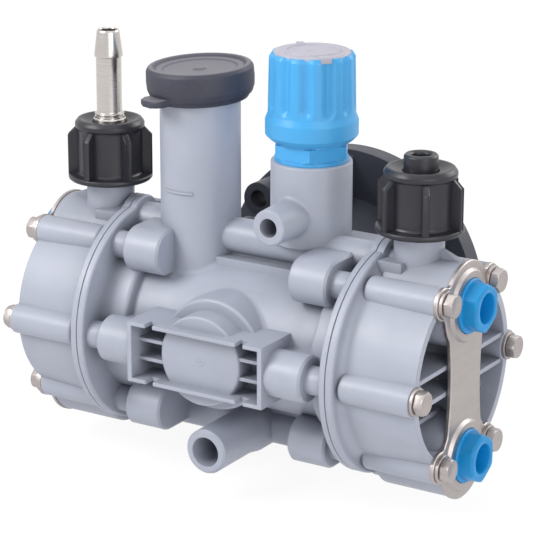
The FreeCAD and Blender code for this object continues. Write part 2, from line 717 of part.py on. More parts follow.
def head_cavities():
    cup = cylinder("x", CUP_FLOOR_X, HEAD_END_X + 1, HEAD_END_R - HEAD_WALL)
    kept = valve_barrels(VALVE_BARREL_R, CUP_FLOOR_X - 1, HEAD_END_X + 2) + head_webs()
    kept += [cylinder("x", CUP_FLOOR_X - 1, HEAD_END_X + 2, HEAD_BOSS_R, y, z) for y, z in screw_places()]
    cavities = [cup.cut(kept), rim_outline(-LIP_W, HEAD_LIP_X - 1, HEAD_FACE_X)]
    cavities.append(cone("x", HEAD_FACE_X, CHAMBER_X, RECESS_R, CHAMBER_END_R))
    cavities += valve_barrels(PLENUM_R, PLENUM_X, VALVE_X)
    cavities += valve_barrels(POCKET_R, VALVE_X, HEAD_END_X)
    cavities += valve_barrels(PLUG_FLANGE_R + FIT, PLUG_SEAT_X, HEAD_END_X + 1)
    cavities.append(cylinder("x", CHAMBER_X - 1, PLENUM_X + 1, DELIVERY_PORT_R, 0, DELIVERY_PORT_Z))
    cavities.append(cylinder("x", CHAMBER_X - 1, CAGE_X0 + 5, SUCTION_PORT_R, 0, SUCTION_PORT_Z))
    cavities.append(cylinder("x", HEAD_FACE_X - 1, CAGE_X0 + 5, PASSAGE_R, 0, PASSAGE_Z))
    cavities.append(cylinder("x", HEAD_FACE_X - 1, VALVE_X - PLENUM_DEPTH / 4, PASSAGE_R, 0, -PASSAGE_Z))
    cavities.append(cylinder("z", DELIVERY_Z + PLENUM_R, NECK_TOP_Z + 1, NECK_BORE_R, NECK_X, 0))
    for y, z in screw_places():
        cavities.append(cylinder("x", HEAD_FACE_X - 1, HEAD_END_X + 1, SCREW_HOLE_R, y, z))
    return cavities


def head():
    return head_body().cut(head_cavities())


# Diaphragm and what it carries

def diaphragm():
    """Rubber sheet with a rolled fold between its clamped rim and its clamped centre."""
    x0 = FLANGE_FACE_X
    x1 = HEAD_FACE_X
    middle = (DISC_R + RECESS_R) / 2
    half = (RECESS_R - DISC_R) / 2 - 1.0

    def half_section(x, bulge):
        start = Vector(x, 0, middle - half)
        stop = Vector(x, 0, middle + half)
        return Part.Arc(start, Vector(x - bulge, 0, middle), stop).toShape()

    roll_in = half_section(x0, ROLL_R)
    roll_out = half_section(x1, ROLL_R)
    corners = [(x0, CENTRE_SCREW_R + FIT), (x0, middle - half)]
    lines = [Part.makeLine(Vector(corners[0][0], 0, corners[0][1]), Vector(corners[1][0], 0, corners[1][1]))]
    lines.append(roll_in)
    lines.append(Part.makeLine(Vector(x0, 0, middle + half), Vector(x0, 0, SCREW_CIRCLE_R)))
    lines.append(Part.makeLine(Vector(x0, 0, SCREW_CIRCLE_R), Vector(x1, 0, SCREW_CIRCLE_R)))
    lines.append(Part.makeLine(Vector(x1, 0, SCREW_CIRCLE_R), Vector(x1, 0, middle + half)))
    lines.append(roll_out)
    lines.append(Part.makeLine(Vector(x1, 0, middle - half), Vector(x1, 0, CENTRE_SCREW_R + FIT)))
    lines.append(Part.makeLine(Vector(x1, 0, CENTRE_SCREW_R + FIT), Vector(x0, 0, CENTRE_SCREW_R + FIT)))
    outline = Part.Wire(Part.__sortEdges__(lines))
    sheet = Part.Face(outline).revolve(Vector(0, 0, 0), DIRECTIONS["x"], 360)
    rim = rim_outline(-LIP_W - GAP, x0, x1).cut(cylinder("x", x0, x1, RECESS_R + 1))
    sheet = join([sheet, rim])
    holes = [cylinder("x", x0 - 1, x1 + 1, SCREW_HOLE_R, y, z) for y, z in screw_places()]
    holes += [cylinder("x", x0 - 1, x1 + 1, PASSAGE_R, 0, s * PASSAGE_Z) for s in (1, -1)]
    return sheet.cut(holes)


def eased_disc(x0, x1, hole_r):
    disc = tube("x", x0, x1, DISC_R, hole_r)
    return disc.makeChamfer(DISC_EASING, [e for e in disc.Edges if e.BoundBox.ZMax > DISC_R - 0.01
                                          and e.BoundBox.XLength < 0.01])


def inner_disc():
    return eased_disc(INNER_DISC_X, FLANGE_FACE_X, CENTRE_SCREW_R + FIT)


def outer_disc():
    disc = eased_disc(HEAD_FACE_X, OUTER_DISC_X, CENTRE_SCREW_R + FIT)
    sink_x = OUTER_DISC_X - CENTRE_SCREW_HEAD_T
    sink = cone("x", sink_x, OUTER_DISC_X, CENTRE_SCREW_R + FIT, CENTRE_SCREW_HEAD_R + FIT)
    return disc.cut(sink)


def centre_screw():
    head_start = OUTER_DISC_X - CENTRE_SCREW_HEAD_T
    sunk = cone("x", head_start, OUTER_DISC_X, CENTRE_SCREW_R, CENTRE_SCREW_HEAD_R)
    shank = cylinder("x", OUTER_DISC_X - CENTRE_SCREW_LENGTH, head_start, CENTRE_SCREW_R)
    screw = join([sunk, shank])
    return screw.cut(hexagon("x", OUTER_DISC_X - 1.6, OUTER_DISC_X + 1, 5.0))


def rod():
    """Push rod from the yoke's end wall through the guide to the inner disc."""
    body = cylinder("x", YOKE_END_X, INNER_DISC_X, ROD_R)
    hole_start = OUTER_DISC_X - CENTRE_SCREW_LENGTH - 1
    return body.cut(cylinder("x", hole_start, INNER_DISC_X + 1, CENTRE_SCREW_R + FIT))


def yoke():
    """Slotted cross-head round the crank's bearing: two end walls and the rails between them."""
    top = YOKE_SLOT_Z + YOKE_RAIL_T
    pieces = []
    for s in (-1, 1):
        x0, x1 = sorted((s * YOKE_SLOT_X, s * YOKE_END_X))
        wall = block(x0, x1, -YOKE_HALF_Y, YOKE_HALF_Y, -top, top)
        corners = [e for e in wall.Edges if e.BoundBox.YLength > YOKE_HALF_Y
                   and abs(e.CenterOfMass.x - s * YOKE_END_X) < 0.01]
        pieces.append(wall.makeFillet(YOKE_CORNER_R, corners))
        z0, z1 = sorted((s * YOKE_SLOT_Z, s * top))
        pieces.append(block(-YOKE_SLOT_X, YOKE_SLOT_X, -YOKE_HALF_Y, YOKE_HALF_Y, z0, z1))
    return pieces


def guide():
    """Guide plate with a bore for the rod and holes that let the oil past."""
    plate = tube("x", GUIDE_X0, GUIDE_X0 + GUIDE_T, CAVITY_END_R - FIT, ROD_R + RUN)
    relief = tube("x", GUIDE_X0 + 3, GUIDE_X0 + GUIDE_T, CAVITY_END_R - 3, ROD_R + 4)
    holes = []
    for i in range(GUIDE_HOLE_COUNT):
        y, z = on_circle(GUIDE_HOLE_CIRCLE_R, 360 * i / GUIDE_HOLE_COUNT)
        holes.append(cylinder("x", GUIDE_X0 - 1, GUIDE_X0 + GUIDE_T, GUIDE_HOLE_R, y, z))
    return plate.cut([relief] + holes)


# Valves

def for_both_pockets(make):
    return [make(z) for z in (DELIVERY_Z, SUCTION_Z)]


def valve_seat(z):
    return tube("x", VALVE_X, CAGE_X0, POCKET_R - FIT, VALVE_SEAT_HOLE_R, 0, z)


def valve_cage(z):
    """Windowed sleeve with an end plate and a guide hub for the poppet's stem."""
    outer = POCKET_R - FIT
    sleeve = tube("x", CAGE_X0, PLUG_NOSE_X, outer, outer - CAGE_WALL, 0, z)
    plate = cylinder("x", CAGE_PLATE_X, PLUG_NOSE_X, outer, 0, z)
    hub = cylinder("x", PLUG_NOSE_X - CAGE_HUB_LENGTH, PLUG_NOSE_X, CAGE_HUB_R, 0, z)
    body = join([sleeve, plate, hub])
    window_x0 = CAGE_X0 + 2
    window_x1 = CAGE_PLATE_X - 1.5
    tools = [cylinder("x", CAGE_X0, PLUG_NOSE_X + 1, POPPET_STEM_R + RUN, 0, z)]
    tools.append(block(window_x0, window_x1, -POCKET_R - 1, POCKET_R + 1, z - 4, z + 4).cut(
        cylinder("x", window_x0, window_x1, outer - CAGE_WALL, 0, z)))
    tools.append(block(window_x0, window_x1, -4, 4, z - POCKET_R - 1, z + POCKET_R + 1).cut(
        cylinder("x", window_x0, window_x1, outer - CAGE_WALL, 0, z)))
    return body.cut(tools)


def poppet(z):
    start = CAGE_X0 + GAP
    disc = cylinder("x", start, start + POPPET_T, POPPET_R, 0, z)
    disc = blended(disc, 0.8, lambda e: isinstance(e.Curve, Part.Circle) and e.CenterOfMass.x > start + 1)
    stem_end = PLUG_NOSE_X - POPPET_LIFT - POPPET_STEM_END_GAP
    return join([disc, cylinder("x", start + POPPET_T, stem_end, POPPET_STEM_R, 0, z)])


def coil(axis, start, end, radius, wire_r, turns, a, b):
    """Compression spring with its wire between two planes, drawn as flat-sided steps round a helix."""
    height = end - start - 2 * wire_r
    steps = turns * STEPS_PER_TURN
    sections = []
    for i in range(steps + 1):
        x, y = on_circle(1.0, 360 * i / STEPS_PER_TURN)
        z = wire_r + height * i / steps
        ring = [on_circle(wire_r, 60 * k) for k in range(6)]
        corners = [Vector((radius + u) * x, (radius + u) * y, z + w) for u, w in ring]
        sections.append(Part.makePolygon(corners + corners[:1]))
    wire = Part.makeLoft(sections, True, True)
    turn = FreeCAD.Rotation(DIRECTIONS["z"], DIRECTIONS[axis])
    wire.Placement = FreeCAD.Placement(point(axis, start, a, b), turn)
    return wire


def valve_spring(z):
    start = CAGE_X0 + GAP + POPPET_T + GAP
    return coil("x", start, CAGE_PLATE_X - GAP, VALVE_SPRING_R, VALVE_WIRE_R, VALVE_SPRING_TURNS, 0, z)


def valve_plug(z):
    """Screw-in plug: sealed nose, clamped flange, round base, rounded hexagon and blind socket."""
    end = PLATE_FACE_X + PLUG_PROUD
    base_end = HEAD_END_X + PLUG_BASE_LENGTH
    nose = cylinder("x", PLUG_NOSE_X, PLUG_SEAT_X, POCKET_R - FIT, 0, z)
    flange = cylinder("x", PLUG_SEAT_X, PLUG_FLANGE_END_X, PLUG_FLANGE_R, 0, z)
    base = cylinder("x", PLUG_FLANGE_END_X, base_end, PLUG_BASE_R, 0, z)
    base = blended(base, 0.8, lambda e: abs(e.CenterOfMass.x - base_end) < 0.01)
    grip = hexagon("x", base_end - 1, end, PLUG_FLATS, 0, z, 30)
    grip = grip.common(cylinder("x", base_end - 1, end, PLUG_CORNER_R, 0, z))
    grip = grip.makeChamfer(0.6, [e for e in grip.Edges if abs(e.CenterOfMass.x - end) < 0.01])
    socket = cylinder("x", end - PLUG_SOCKET_DEPTH, end + 1, PLUG_SOCKET_R, 0, z)
    groove_x = PLUG_NOSE_X + PLUG_GROOVE_INSET
    groove = tube("x", groove_x, groove_x + 2 * PLUG_SEAL_R, POCKET_R, POCKET_R - 2 * PLUG_SEAL_R, 0, z)
    return join([nose, flange, base, grip]).cut([socket, groove])


def plug_seal(z):
    """Round seal in the plug's groove, drawn with an eight-sided section."""
    middle = PLUG_NOSE_X + PLUG_GROOVE_INSET + PLUG_SEAL_R
    ring_r = POCKET_R - PLUG_SEAL_R
    section = [on_circle(PLUG_SEAL_R - FIT, 45 * i) for i in range(8)]
    return turned("x", [(middle + u, ring_r + w) for u, w in section], 0, z)


def clamp_plate():
    """Dog-bone plate over both plugs, pressed up round each, held by four of the head screws."""
    x0 = HEAD_END_X
    x1 = PLATE_FACE_X
    places = [(y, z) for y, z in screw_places() if abs(z) > 1]
    side_y, side_z = on_circle(PLATE_ARCH_R - 1, -33)
    upper_z = DELIVERY_Z + side_z
    lower_z = SUCTION_Z - side_z
    waist_z = (upper_z + lower_z) / 2
    corners = [Vector(x0, side_y, upper_z), Vector(x0, side_y, lower_z),
               Vector(x0, -side_y, lower_z), Vector(x0, -side_y, upper_z)]
    edges = [Part.Arc(corners[0], Vector(x0, PLATE_WAIST, waist_z), corners[1]).toShape(),
             Part.makeLine(corners[1], corners[2]),
             Part.Arc(corners[2], Vector(x0, -PLATE_WAIST, waist_z), corners[3]).toShape(),
             Part.makeLine(corners[3], corners[0])]
    waist = Part.Face(Part.Wire(edges)).extrude(DIRECTIONS["x"] * PLATE_T)
    ears = [cylinder("x", x0, x1, PLATE_EAR_R, y, z) for y, z in places]
    plate = join([waist] + valve_barrels(PLATE_ARCH_R, x0, x1) + ears)
    plate = plate.makeFillet(3.0, [edge for edge in plate.Edges if edge.BoundBox.XLength > PLATE_T - 0.01
                                   and isinstance(edge.Curve, Part.Line) and abs(edge.CenterOfMass.y) > 1])
    plate = plate.makeChamfer(0.4, [edge for edge in plate.Edges if abs(edge.CenterOfMass.x - x1) < 0.01])
    washer_room = [cylinder("x", x1 - 0.5, x1 + EMBOSS_H + 1, WASHER_R + GAP, y, z) for y, z in places]
    washer_room = [room.common(cylinder("x", x1, x1 + EMBOSS_H + 1, FLANGE_R)) for room in washer_room]
    rings = [cone("x", x1 - 0.5, x1 + EMBOSS_H, EMBOSS_ROOT_R, EMBOSS_R, 0, z).cut(washer_room)
             for z in (DELIVERY_Z, SUCTION_Z)]
    plate = join([plate] + rings)
    holes = valve_barrels(PLUG_BASE_R + PLATE_HOLE_CLEARANCE, x0 - 1, x1 + EMBOSS_H + 1)
    holes += valve_barrels(PLUG_FLANGE_R + FIT, x0 - 1, PLUG_FLANGE_END_X)
    holes += [cylinder("x", x0 - 1, x1 + 1, SCREW_HOLE_R, y, z) for y, z in places]
    return plate.cut(holes)


# Fasteners

def screw_seat_x(z):
    """Where the washer of a head screw lies: on the clamp plate, or on the bare boss at mid height."""
    return PLATE_FACE_X if abs(z) > 1 else HEAD_END_X


def hex_screw(axis, face, length, a, b, turn=30.0):
    """Hex screw whose head stands on `face` and whose shank points the other way."""
    top = face + HEX_HEIGHT
    hexed = hexagon(axis, face, top, HEX_FLATS, a, b, turn)
    dome_r = HEX_FLATS / math.sqrt(3) + 0.1
    dome = turned(axis, [(face, 0), (face, dome_r), (top - 0.6, dome_r), (top, HEX_FLATS / 2 - 0.1),
                         (top, 0)], a, b)
    shank = cylinder(axis, face - length, face, SCREW_R, a, b)
    return join([hexed.common(dome), shank])


def head_screws():
    return [hex_screw("x", screw_seat_x(z) + WASHER_T, SCREW_LENGTH, y, z, 20 + 25 * i)
            for i, (y, z) in enumerate(screw_places())]


def head_washers():
    return [tube("x", screw_seat_x(z), screw_seat_x(z) + WASHER_T, WASHER_R, SCREW_R + 0.2, y, z)
            for y, z in screw_places()]


def captive_nuts():
    x0 = BOSS_X0 + NUT_INSET
    x1 = x0 + NUT_HEIGHT
    return [hexagon("x", x0, x1, HEX_FLATS, y, z, 30).cut(cylinder("x", x0 - 1, x1 + 1, SCREW_R + FIT, y, z))
            for y, z in screw_places()]


# Outlets

def union_nut(side):
    """Winged union nut that turns freely on the neck."""
    x = SIDES[side] * NECK_X
    foot = NECK_Z + GAP
    ring_z = foot + UNION_RING_T
    top = UNION_TOP_Z
    high = top - UNION_BAND_T
    under = top - UNION_TOP_T
    body = turned("z", [(foot, UNION_BORE_R), (foot, UNION_RING_R - UNION_RING_CHAMFER),
                        (foot + UNION_RING_CHAMFER, UNION_RING_R), (ring_z, UNION_RING_R),
                        (ring_z, UNION_BODY_R), (high, UNION_BODY_R), (high, UNION_BAND_R),
                        (top - UNION_TOP_CHAMFER, UNION_BAND_R), (top, UNION_BAND_R - UNION_TOP_CHAMFER),
                        (top, UNION_HOLE_R), (under, UNION_HOLE_R), (under, UNION_BORE_R)], x, 0)
    low = foot + 1
    drop = WING_R - UNION_BODY_R
    outline = [(low, UNION_BODY_R - 1), (low, WING_R), (high - drop, WING_R), (high, UNION_BODY_R + 0.5),
               (high, UNION_BODY_R - 1)]
    wings = []
    for i in range(WING_COUNT):
        corners = [Vector(x + r, -WING_T / 2, z) for z, r in outline]
        wing = Part.Face(Part.makePolygon(corners + corners[:1])).extrude(Vector(0, WING_T, 0))
        wing.rotate(Vector(x, 0, 0), DIRECTIONS["z"], WING_FIRST[side] + 360 * i / WING_COUNT)
        wings.append(wing)
    return join([body] + wings)


def union_gasket(side):
    x = SIDES[side] * NECK_X
    return tube("z", NECK_TOP_Z, NECK_TOP_Z + GASKET_T, TAIL_FLANGE_R - 0.4, NECK_BORE_R, x, 0)


def tail_profile_base(outer_above):
    z0 = NECK_TOP_Z + GASKET_T
    return [(z0, TAIL_FLANGE_R), (z0 + TAIL_FLANGE_T, TAIL_FLANGE_R), (z0 + TAIL_FLANGE_T, outer_above)]


def hose_tail():
    """Plain plastic tail on the right outlet."""
    z0 = NECK_TOP_Z + GASKET_T
    profile = [(z0, TAIL_BORE_R)] + tail_profile_base(TAIL_R)
    profile += [(TAIL_TOP_Z - 0.8, TAIL_R), (TAIL_TOP_Z, TAIL_R - 0.8), (TAIL_TOP_Z, TAIL_BORE_R + 0.8),
                (TAIL_TOP_Z - 0.8, TAIL_BORE_R)]
    return turned("z", profile, NECK_X, 0)


def hose_barb():
    """Turned steel hose barb on the left outlet, its collar grooved once."""
    z0 = NECK_TOP_Z + GASKET_T
    collar_z0 = UNION_TOP_Z + GAP
    collar_z1 = BARB_COLLAR_Z
    groove_z0 = collar_z1 - 1.6
    groove_r = BARB_SHAFT_R + 0.3
    profile = [(z0, BARB_BORE_R)] + tail_profile_base(TAIL_R)
    profile += [(collar_z0, TAIL_R), (collar_z0, BARB_COLLAR_R), (groove_z0, BARB_COLLAR_R),
                (groove_z0 + 0.2, groove_r), (groove_z0 + 0.7, groove_r), (groove_z0 + 0.9, BARB_COLLAR_R),
                (collar_z1 - 0.2, BARB_COLLAR_R), (collar_z1, BARB_SHAFT_R),
                (BARB_STEP_Z, BARB_SHAFT_R), (BARB_STEP_Z + BARB_LEAD, BARB_CONE_R),
                (BARB_TIP_Z - BARB_LEAD, BARB_TIP_R), (BARB_TIP_Z, BARB_TIP_R - 0.5),
                (BARB_TIP_Z, BARB_BORE_R)]
    return turned("z", profile, -NECK_X, 0)


# Crankshaft, bearings and drive flange

def raceway(middle, pitch_r, room, land_r, side):
    """Corners of a groove whose flats clear a ball by its fit; `side` is -1 inside and 1 outside it."""
    flat = room * math.tan(math.radians(22.5))
    mouth = room * math.sqrt(2) - abs(pitch_r - land_r)
    floor_r = pitch_r + side * room
    return [(middle - mouth, land_r), (middle - flat, floor_r), (middle + flat, floor_r),
            (middle + mouth, land_r)]


def bearing(size, start, a=0.0, b=0.0):
    """Deep-groove ball bearing: two rings with raceways and its balls."""
    end = start + size["width"]
    middle = (start + end) / 2
    pitch_r = (size["bore_r"] + size["outer_r"]) / 2
    land = (size["outer_r"] - size["bore_r"]) * BEARING_LAND_SHARE
    room = size["ball_r"] + FIT
    rings = []
    for side, seat_r, land_r in ((-1, size["bore_r"] + FIT, size["bore_r"] + land),
                                 (1, size["outer_r"], size["outer_r"] - land)):
        profile = [(start, seat_r), (start, land_r)] + raceway(middle, pitch_r, room, land_r, side)
        rings.append(turned("y", profile + [(end, land_r), (end, seat_r)], a, b))
    balls = []
    for i in range(size["balls"]):
        x, z = on_circle(pitch_r, 360 * i / size["balls"])
        balls.append(Part.makeSphere(size["ball_r"], point("y", middle, a + x, b + z)))
    return rings + balls


def crankshaft():
    """One-piece shaft: front journal, eccentric, cheek and hollow drive end with its keyway."""
    front = [cylinder("y", FRONT_BEARING_END_Y - 0.5, -ECCENTRIC_HALF, JOURNAL_R),
             cylinder("y", FRONT_BEARING_END_Y + FRONT_BEARING["width"], -ECCENTRIC_HALF, SHAFT_FRONT_R)]
    eccentric = cylinder("y", -ECCENTRIC_HALF, ECCENTRIC_HALF, ECCENTRIC_R, 0, STROKE)
    cheek = cylinder("y", ECCENTRIC_HALF, ECCENTRIC_HALF + CHEEK_T, CHEEK_R, 0, STROKE / 2)
    middle = cylinder("y", ECCENTRIC_HALF + CHEEK_T, SHOULDER_Y, SHAFT_MID_R)
    shoulder = cylinder("y", SHOULDER_Y, REAR_BEARING_Y, SHAFT_SHOULDER_R)
    rear = cylinder("y", REAR_BEARING_Y, SHAFT_END_Y, SHAFT_REAR_R)
    shaft = join(front + [eccentric, cheek, middle, shoulder, rear])
    bore_start = SHAFT_END_Y - DRIVE_BORE_DEPTH
    bore = cylinder("y", bore_start, SHAFT_END_Y + 1, DRIVE_BORE_R)
    keyway = block(-KEYWAY_W / 2, KEYWAY_W / 2, bore_start, SHAFT_END_Y + 1, 0, KEYWAY_TOP)
    return shaft.cut([bore, keyway])


def drive_flange():
    """Bell-shaped adapter: spigot and bearing seat at the front, ribbed hub, motor face at the back."""
    front = REAR_BOSS_Y - FLANGE_SPIGOT_LENGTH
    disc_y = MOTOR_FACE_Y - MOTOR_FACE_T
    lug_y = REAR_BOSS_Y + FLANGE_LUG_T
    body = turned("y", [(front, 0), (front, SPIGOT_FIT_R), (REAR_BOSS_Y, SPIGOT_FIT_R),
                        (REAR_BOSS_Y, HUB_COLLAR_R), (lug_y, HUB_COLLAR_R), (lug_y, HUB_R),
                        (disc_y, HUB_END_R), (disc_y, MOTOR_FACE_R),
                        (MOTOR_FACE_Y, MOTOR_FACE_R), (MOTOR_FACE_Y, 0)])
    pieces = [body]
    for angle in LUG_ANGLES:
        x, z = on_circle(LUG_CIRCLE_R, angle)
        pieces.append(cylinder("y", REAR_BOSS_Y, lug_y, LUG_R, x, z))
        x, z = on_circle(MOTOR_CIRCLE_R, angle)
        pieces.append(cylinder("y", MOTOR_BOSS_Y, disc_y, MOTOR_BOSS_R, x, z))
    rib_foot = HUB_R - HUB_RIB_T
    for i in range(HUB_RIB_COUNT):
        outline = [(rib_foot, lug_y), (HUB_R, lug_y), (MOTOR_FACE_R - RIM_T, disc_y), (rib_foot, disc_y)]
        corners = [Vector(x, y, -HUB_RIB_T / 2) for x, y in outline]
        rib = Part.Face(Part.makePolygon(corners + corners[:1])).extrude(Vector(0, 0, HUB_RIB_T))
        rib.rotate(Vector(0, 0, 0), DIRECTIONS["y"], 360 * i / HUB_RIB_COUNT)
        pieces.append(rib)
    body = join(pieces)
    bearing_r = REAR_BEARING["outer_r"] + FIT
    seat_end = REAR_BEARING_Y + REAR_BEARING["width"]
    tools = [cylinder("y", front - 1, seat_end, bearing_r),
             cylinder("y", seat_end, SEAL_Y, SEAL_OUTER_R - 3),
             cylinder("y", SEAL_Y, SEAL_Y + SEAL_T + 1, SEAL_OUTER_R + FIT),
             cone("y", SEAL_Y + SEAL_T + 1, MOTOR_FACE_Y, SEAL_OUTER_R + FIT, HUB_R - 2),
             cylinder("y", MOTOR_FACE_Y - MOTOR_PILOT_DEPTH, MOTOR_FACE_Y + 1, MOTOR_PILOT_R)]
    for x0, x1 in ((-MOTOR_FACE_R, -RELIEF_X), (RELIEF_X, MOTOR_FACE_R)):
        tools.append(block(x0, x1, REAR_BOSS_Y - 1, RELIEF_Y, -RELIEF_Z, RELIEF_Z))
    for angle in LUG_ANGLES:
        x, z = on_circle(LUG_CIRCLE_R, angle)
        tools.append(cylinder("y", REAR_BOSS_Y - 1, lug_y + 1, SCREW_HOLE_R, x, z))
        x, z = on_circle(MOTOR_CIRCLE_R, angle)
        tools.append(cylinder("y", MOTOR_BOSS_Y - 1, MOTOR_FACE_Y + 1, MOTOR_HOLE_R, x, z))
    return body.cut(tools)


def shaft_seal():
    """Lip seal behind the rear bearing, with its running lip."""
    end = SEAL_Y + SEAL_T
    wall_x = end - 1.5
    lip_end = end - 3.5
    lip_start = end - 4.5
    lip_r = SHAFT_REAR_R + RUN
    profile = [(SEAL_Y, SEAL_OUTER_R), (end, SEAL_OUTER_R), (end, SHAFT_REAR_R + 1.5),
               (wall_x, SHAFT_REAR_R + 1.5), (lip_end, lip_r), (lip_start, lip_r),
               (lip_start, SHAFT_REAR_R + 2.5), (wall_x, SEAL_OUTER_R - 3), (SEAL_Y, SEAL_OUTER_R - 3)]
    return turned("y", profile)


def flange_screws():
    """Four screws from behind the lugs of the drive flange into the crankcase."""
    face = REAR_BOSS_Y + FLANGE_LUG_T
    places = [on_circle(LUG_CIRCLE_R, angle) for angle in LUG_ANGLES]
    return [hex_screw("y", face, FLANGE_SCREW_LENGTH, x, z) for x, z in places]


# Regulator

def regulator_bonnet():
    """Blue bonnet: threaded spigot, ring, hexagon with eased corners, and the tube inside the knob."""
    ring_z = REG_Z1
    hex_z = ring_z + BONNET_RING_T
    hex_end = hex_z + BONNET_HEX_T
    foot = ring_z - BONNET_SPIGOT_LENGTH
    spigot_part = cylinder("z", foot, ring_z, REG_BORE_R - FIT, REG_X, REG_Y)
    ring = cylinder("z", ring_z, hex_z, BONNET_RING_R, REG_X, REG_Y)
    hexed = hexagon("z", hex_z, hex_end, BONNET_FLATS, REG_X, REG_Y, BONNET_TURN)
    corner_r = BONNET_FLATS / math.sqrt(3)
    easing = turned("z", [(hex_z, 0), (hex_z, corner_r - BONNET_EASING), (hex_z + BONNET_COLLAR_T, corner_r),
                          (hex_end, corner_r), (hex_end, 0)], REG_X, REG_Y)
    collar = cylinder("z", hex_end, hex_end + BONNET_COLLAR_T, BONNET_RING_R, REG_X, REG_Y)
    neck = cylinder("z", hex_end, BONNET_TUBE_Z, BONNET_TUBE_R, REG_X, REG_Y)
    body = join([spigot_part, ring, hexed.common(easing), collar, neck])
    return body.cut(cylinder("z", foot - 1, BONNET_TUBE_Z + 1, REG_CHAMBER_R, REG_X, REG_Y))


def regulator_knob():
    """Knob with twelve round-ended flutes above a plain skirt."""
    taper_z = SKIRT_Z + SKIRT_TAPER
    top = KNOB_Z1
    body = turned("z", [(KNOB_Z0, 0), (KNOB_Z0, SKIRT_R - SKIRT_CHAMFER), (KNOB_Z0 + SKIRT_CHAMFER, SKIRT_R),
                        (SKIRT_Z, SKIRT_R), (taper_z, KNOB_R), (top - KNOB_CHAMFER, KNOB_TOP_R),
                        (top, KNOB_TOP_R - KNOB_CHAMFER), (top, 0)], REG_X, REG_Y)
    tools = []
    for i in range(FLUTE_COUNT):
        x, y = on_circle(KNOB_R + FLUTE_R - FLUTE_DEPTH, FLUTE_FIRST + 360 * i / FLUTE_COUNT)
        place = (REG_X + x, REG_Y + y)
        tools.append(cylinder("z", taper_z + FLUTE_R, top + 1, FLUTE_R, *place))
        tools.append(Part.makeSphere(FLUTE_R, Vector(place[0], place[1], taper_z + FLUTE_R)))
    tools.append(cylinder("z", top - INSERT_T + INSERT_PROUD, top + 1, INSERT_R + FIT, REG_X, REG_Y))
    tools.append(cylinder("z", KNOB_Z0 - 1, KNOB_CAVITY_TOP_Z, BONNET_TUBE_R + RUN, REG_X, REG_Y))
    tools.append(cylinder("z", KNOB_Z0 - 1, top + 1, SPINDLE_R + FIT, REG_X, REG_Y))
    floor_z = top - INSERT_T + INSERT_PROUD
    tools.append(cylinder("z", floor_z - SPINDLE_HEAD_T - FIT, floor_z, SPINDLE_HEAD_R + FIT, REG_X, REG_Y))
    return body.cut(tools)


def knob_insert():
    """Pale disc in the knob's top with a raised ring and a pointer."""
    z0 = KNOB_Z1 - INSERT_T + INSERT_PROUD
    z1 = KNOB_Z1 + INSERT_PROUD
    disc = cylinder("z", z0, z1 - 0.6, INSERT_R, REG_X, REG_Y)
    disc = blended(disc, 0.5, lambda e: abs(e.CenterOfMass.z - z1 + 0.6) < 0.01)
    ring = tube("z", z0, z1, INSERT_RING_R, INSERT_RING_R - INSERT_RING_W, REG_X, REG_Y)
    outer_r = INSERT_R - 0.4
    pointer_x = REG_X + outer_r
    pointer_y = REG_Y - POINTER_W / 2
    pointer = block(pointer_x - POINTER_LENGTH, pointer_x, pointer_y, pointer_y + POINTER_W, z0, z1)
    pointer.rotate(Vector(REG_X, REG_Y, 0), DIRECTIONS["z"], POINTER_ANGLE)
    return join([disc, ring, pointer])


def regulator_spindle():
    """Screw of the knob: its head under the insert, its thread in the spring seat."""
    floor_z = KNOB_Z1 - INSERT_T + INSERT_PROUD
    shank = cylinder("z", SPINDLE_Z0, floor_z - SPINDLE_HEAD_T, SPINDLE_R, REG_X, REG_Y)
    flat = cylinder("z", floor_z - SPINDLE_HEAD_T, floor_z, SPINDLE_HEAD_R, REG_X, REG_Y)
    return join([shank, flat])


def spring_seat():
    """Nut that the spindle drives down on the spring."""
    z0 = SPRING_SEAT_Z0
    neck_z = z0 + SPRING_SEAT_T + SPRING_SEAT_TUBE_T
    plate = cylinder("z", z0, z0 + SPRING_SEAT_T, SPRING_SEAT_R, REG_X, REG_Y)
    neck = cylinder("z", z0, neck_z, SPRING_SEAT_TUBE_R, REG_X, REG_Y)
    return join([plate, neck]).cut(cylinder("z", z0 - 1, neck_z + 1, SPINDLE_R + RUN, REG_X, REG_Y))


def regulator_seat():
    top = REG_SEAT_Z + REG_SEAT_T
    ring = tube("z", REG_SEAT_Z, top, REG_SEAT_R, REG_SEAT_HOLE_R, REG_X, REG_Y)
    sink_r = REG_SEAT_HOLE_R + REG_SEAT_SINK
    return ring.cut(cone("z", top - REG_SEAT_SINK, top, REG_SEAT_HOLE_R, sink_r, REG_X, REG_Y))


def regulator_poppet():
    """Cone over the seat, stem and plate that carries the spring."""
    z0 = REG_SEAT_Z + REG_SEAT_T - 1.2 + GAP
    profile = [(z0, 0), (z0, REG_SEAT_HOLE_R - 0.2), (z0 + 1.8, REG_POPPET_R), (z0 + 3.3, REG_POPPET_R),
               (z0 + 3.3, REG_POPPET_STEM_R), (REG_PLATE_Z, REG_POPPET_STEM_R), (REG_PLATE_Z, REG_PLATE_R),
               (REG_PLATE_Z + REG_PLATE_T, REG_PLATE_R), (REG_PLATE_Z + REG_PLATE_T, 0)]
    return turned("z", profile, REG_X, REG_Y)


def regulator_spring():
    start = REG_PLATE_Z + REG_PLATE_T + GAP
    return coil("z", start, SPRING_SEAT_Z0 - GAP, REG_SPRING_R, REG_WIRE_R, REG_SPRING_TURNS, REG_X, REG_Y)


# Filler cap

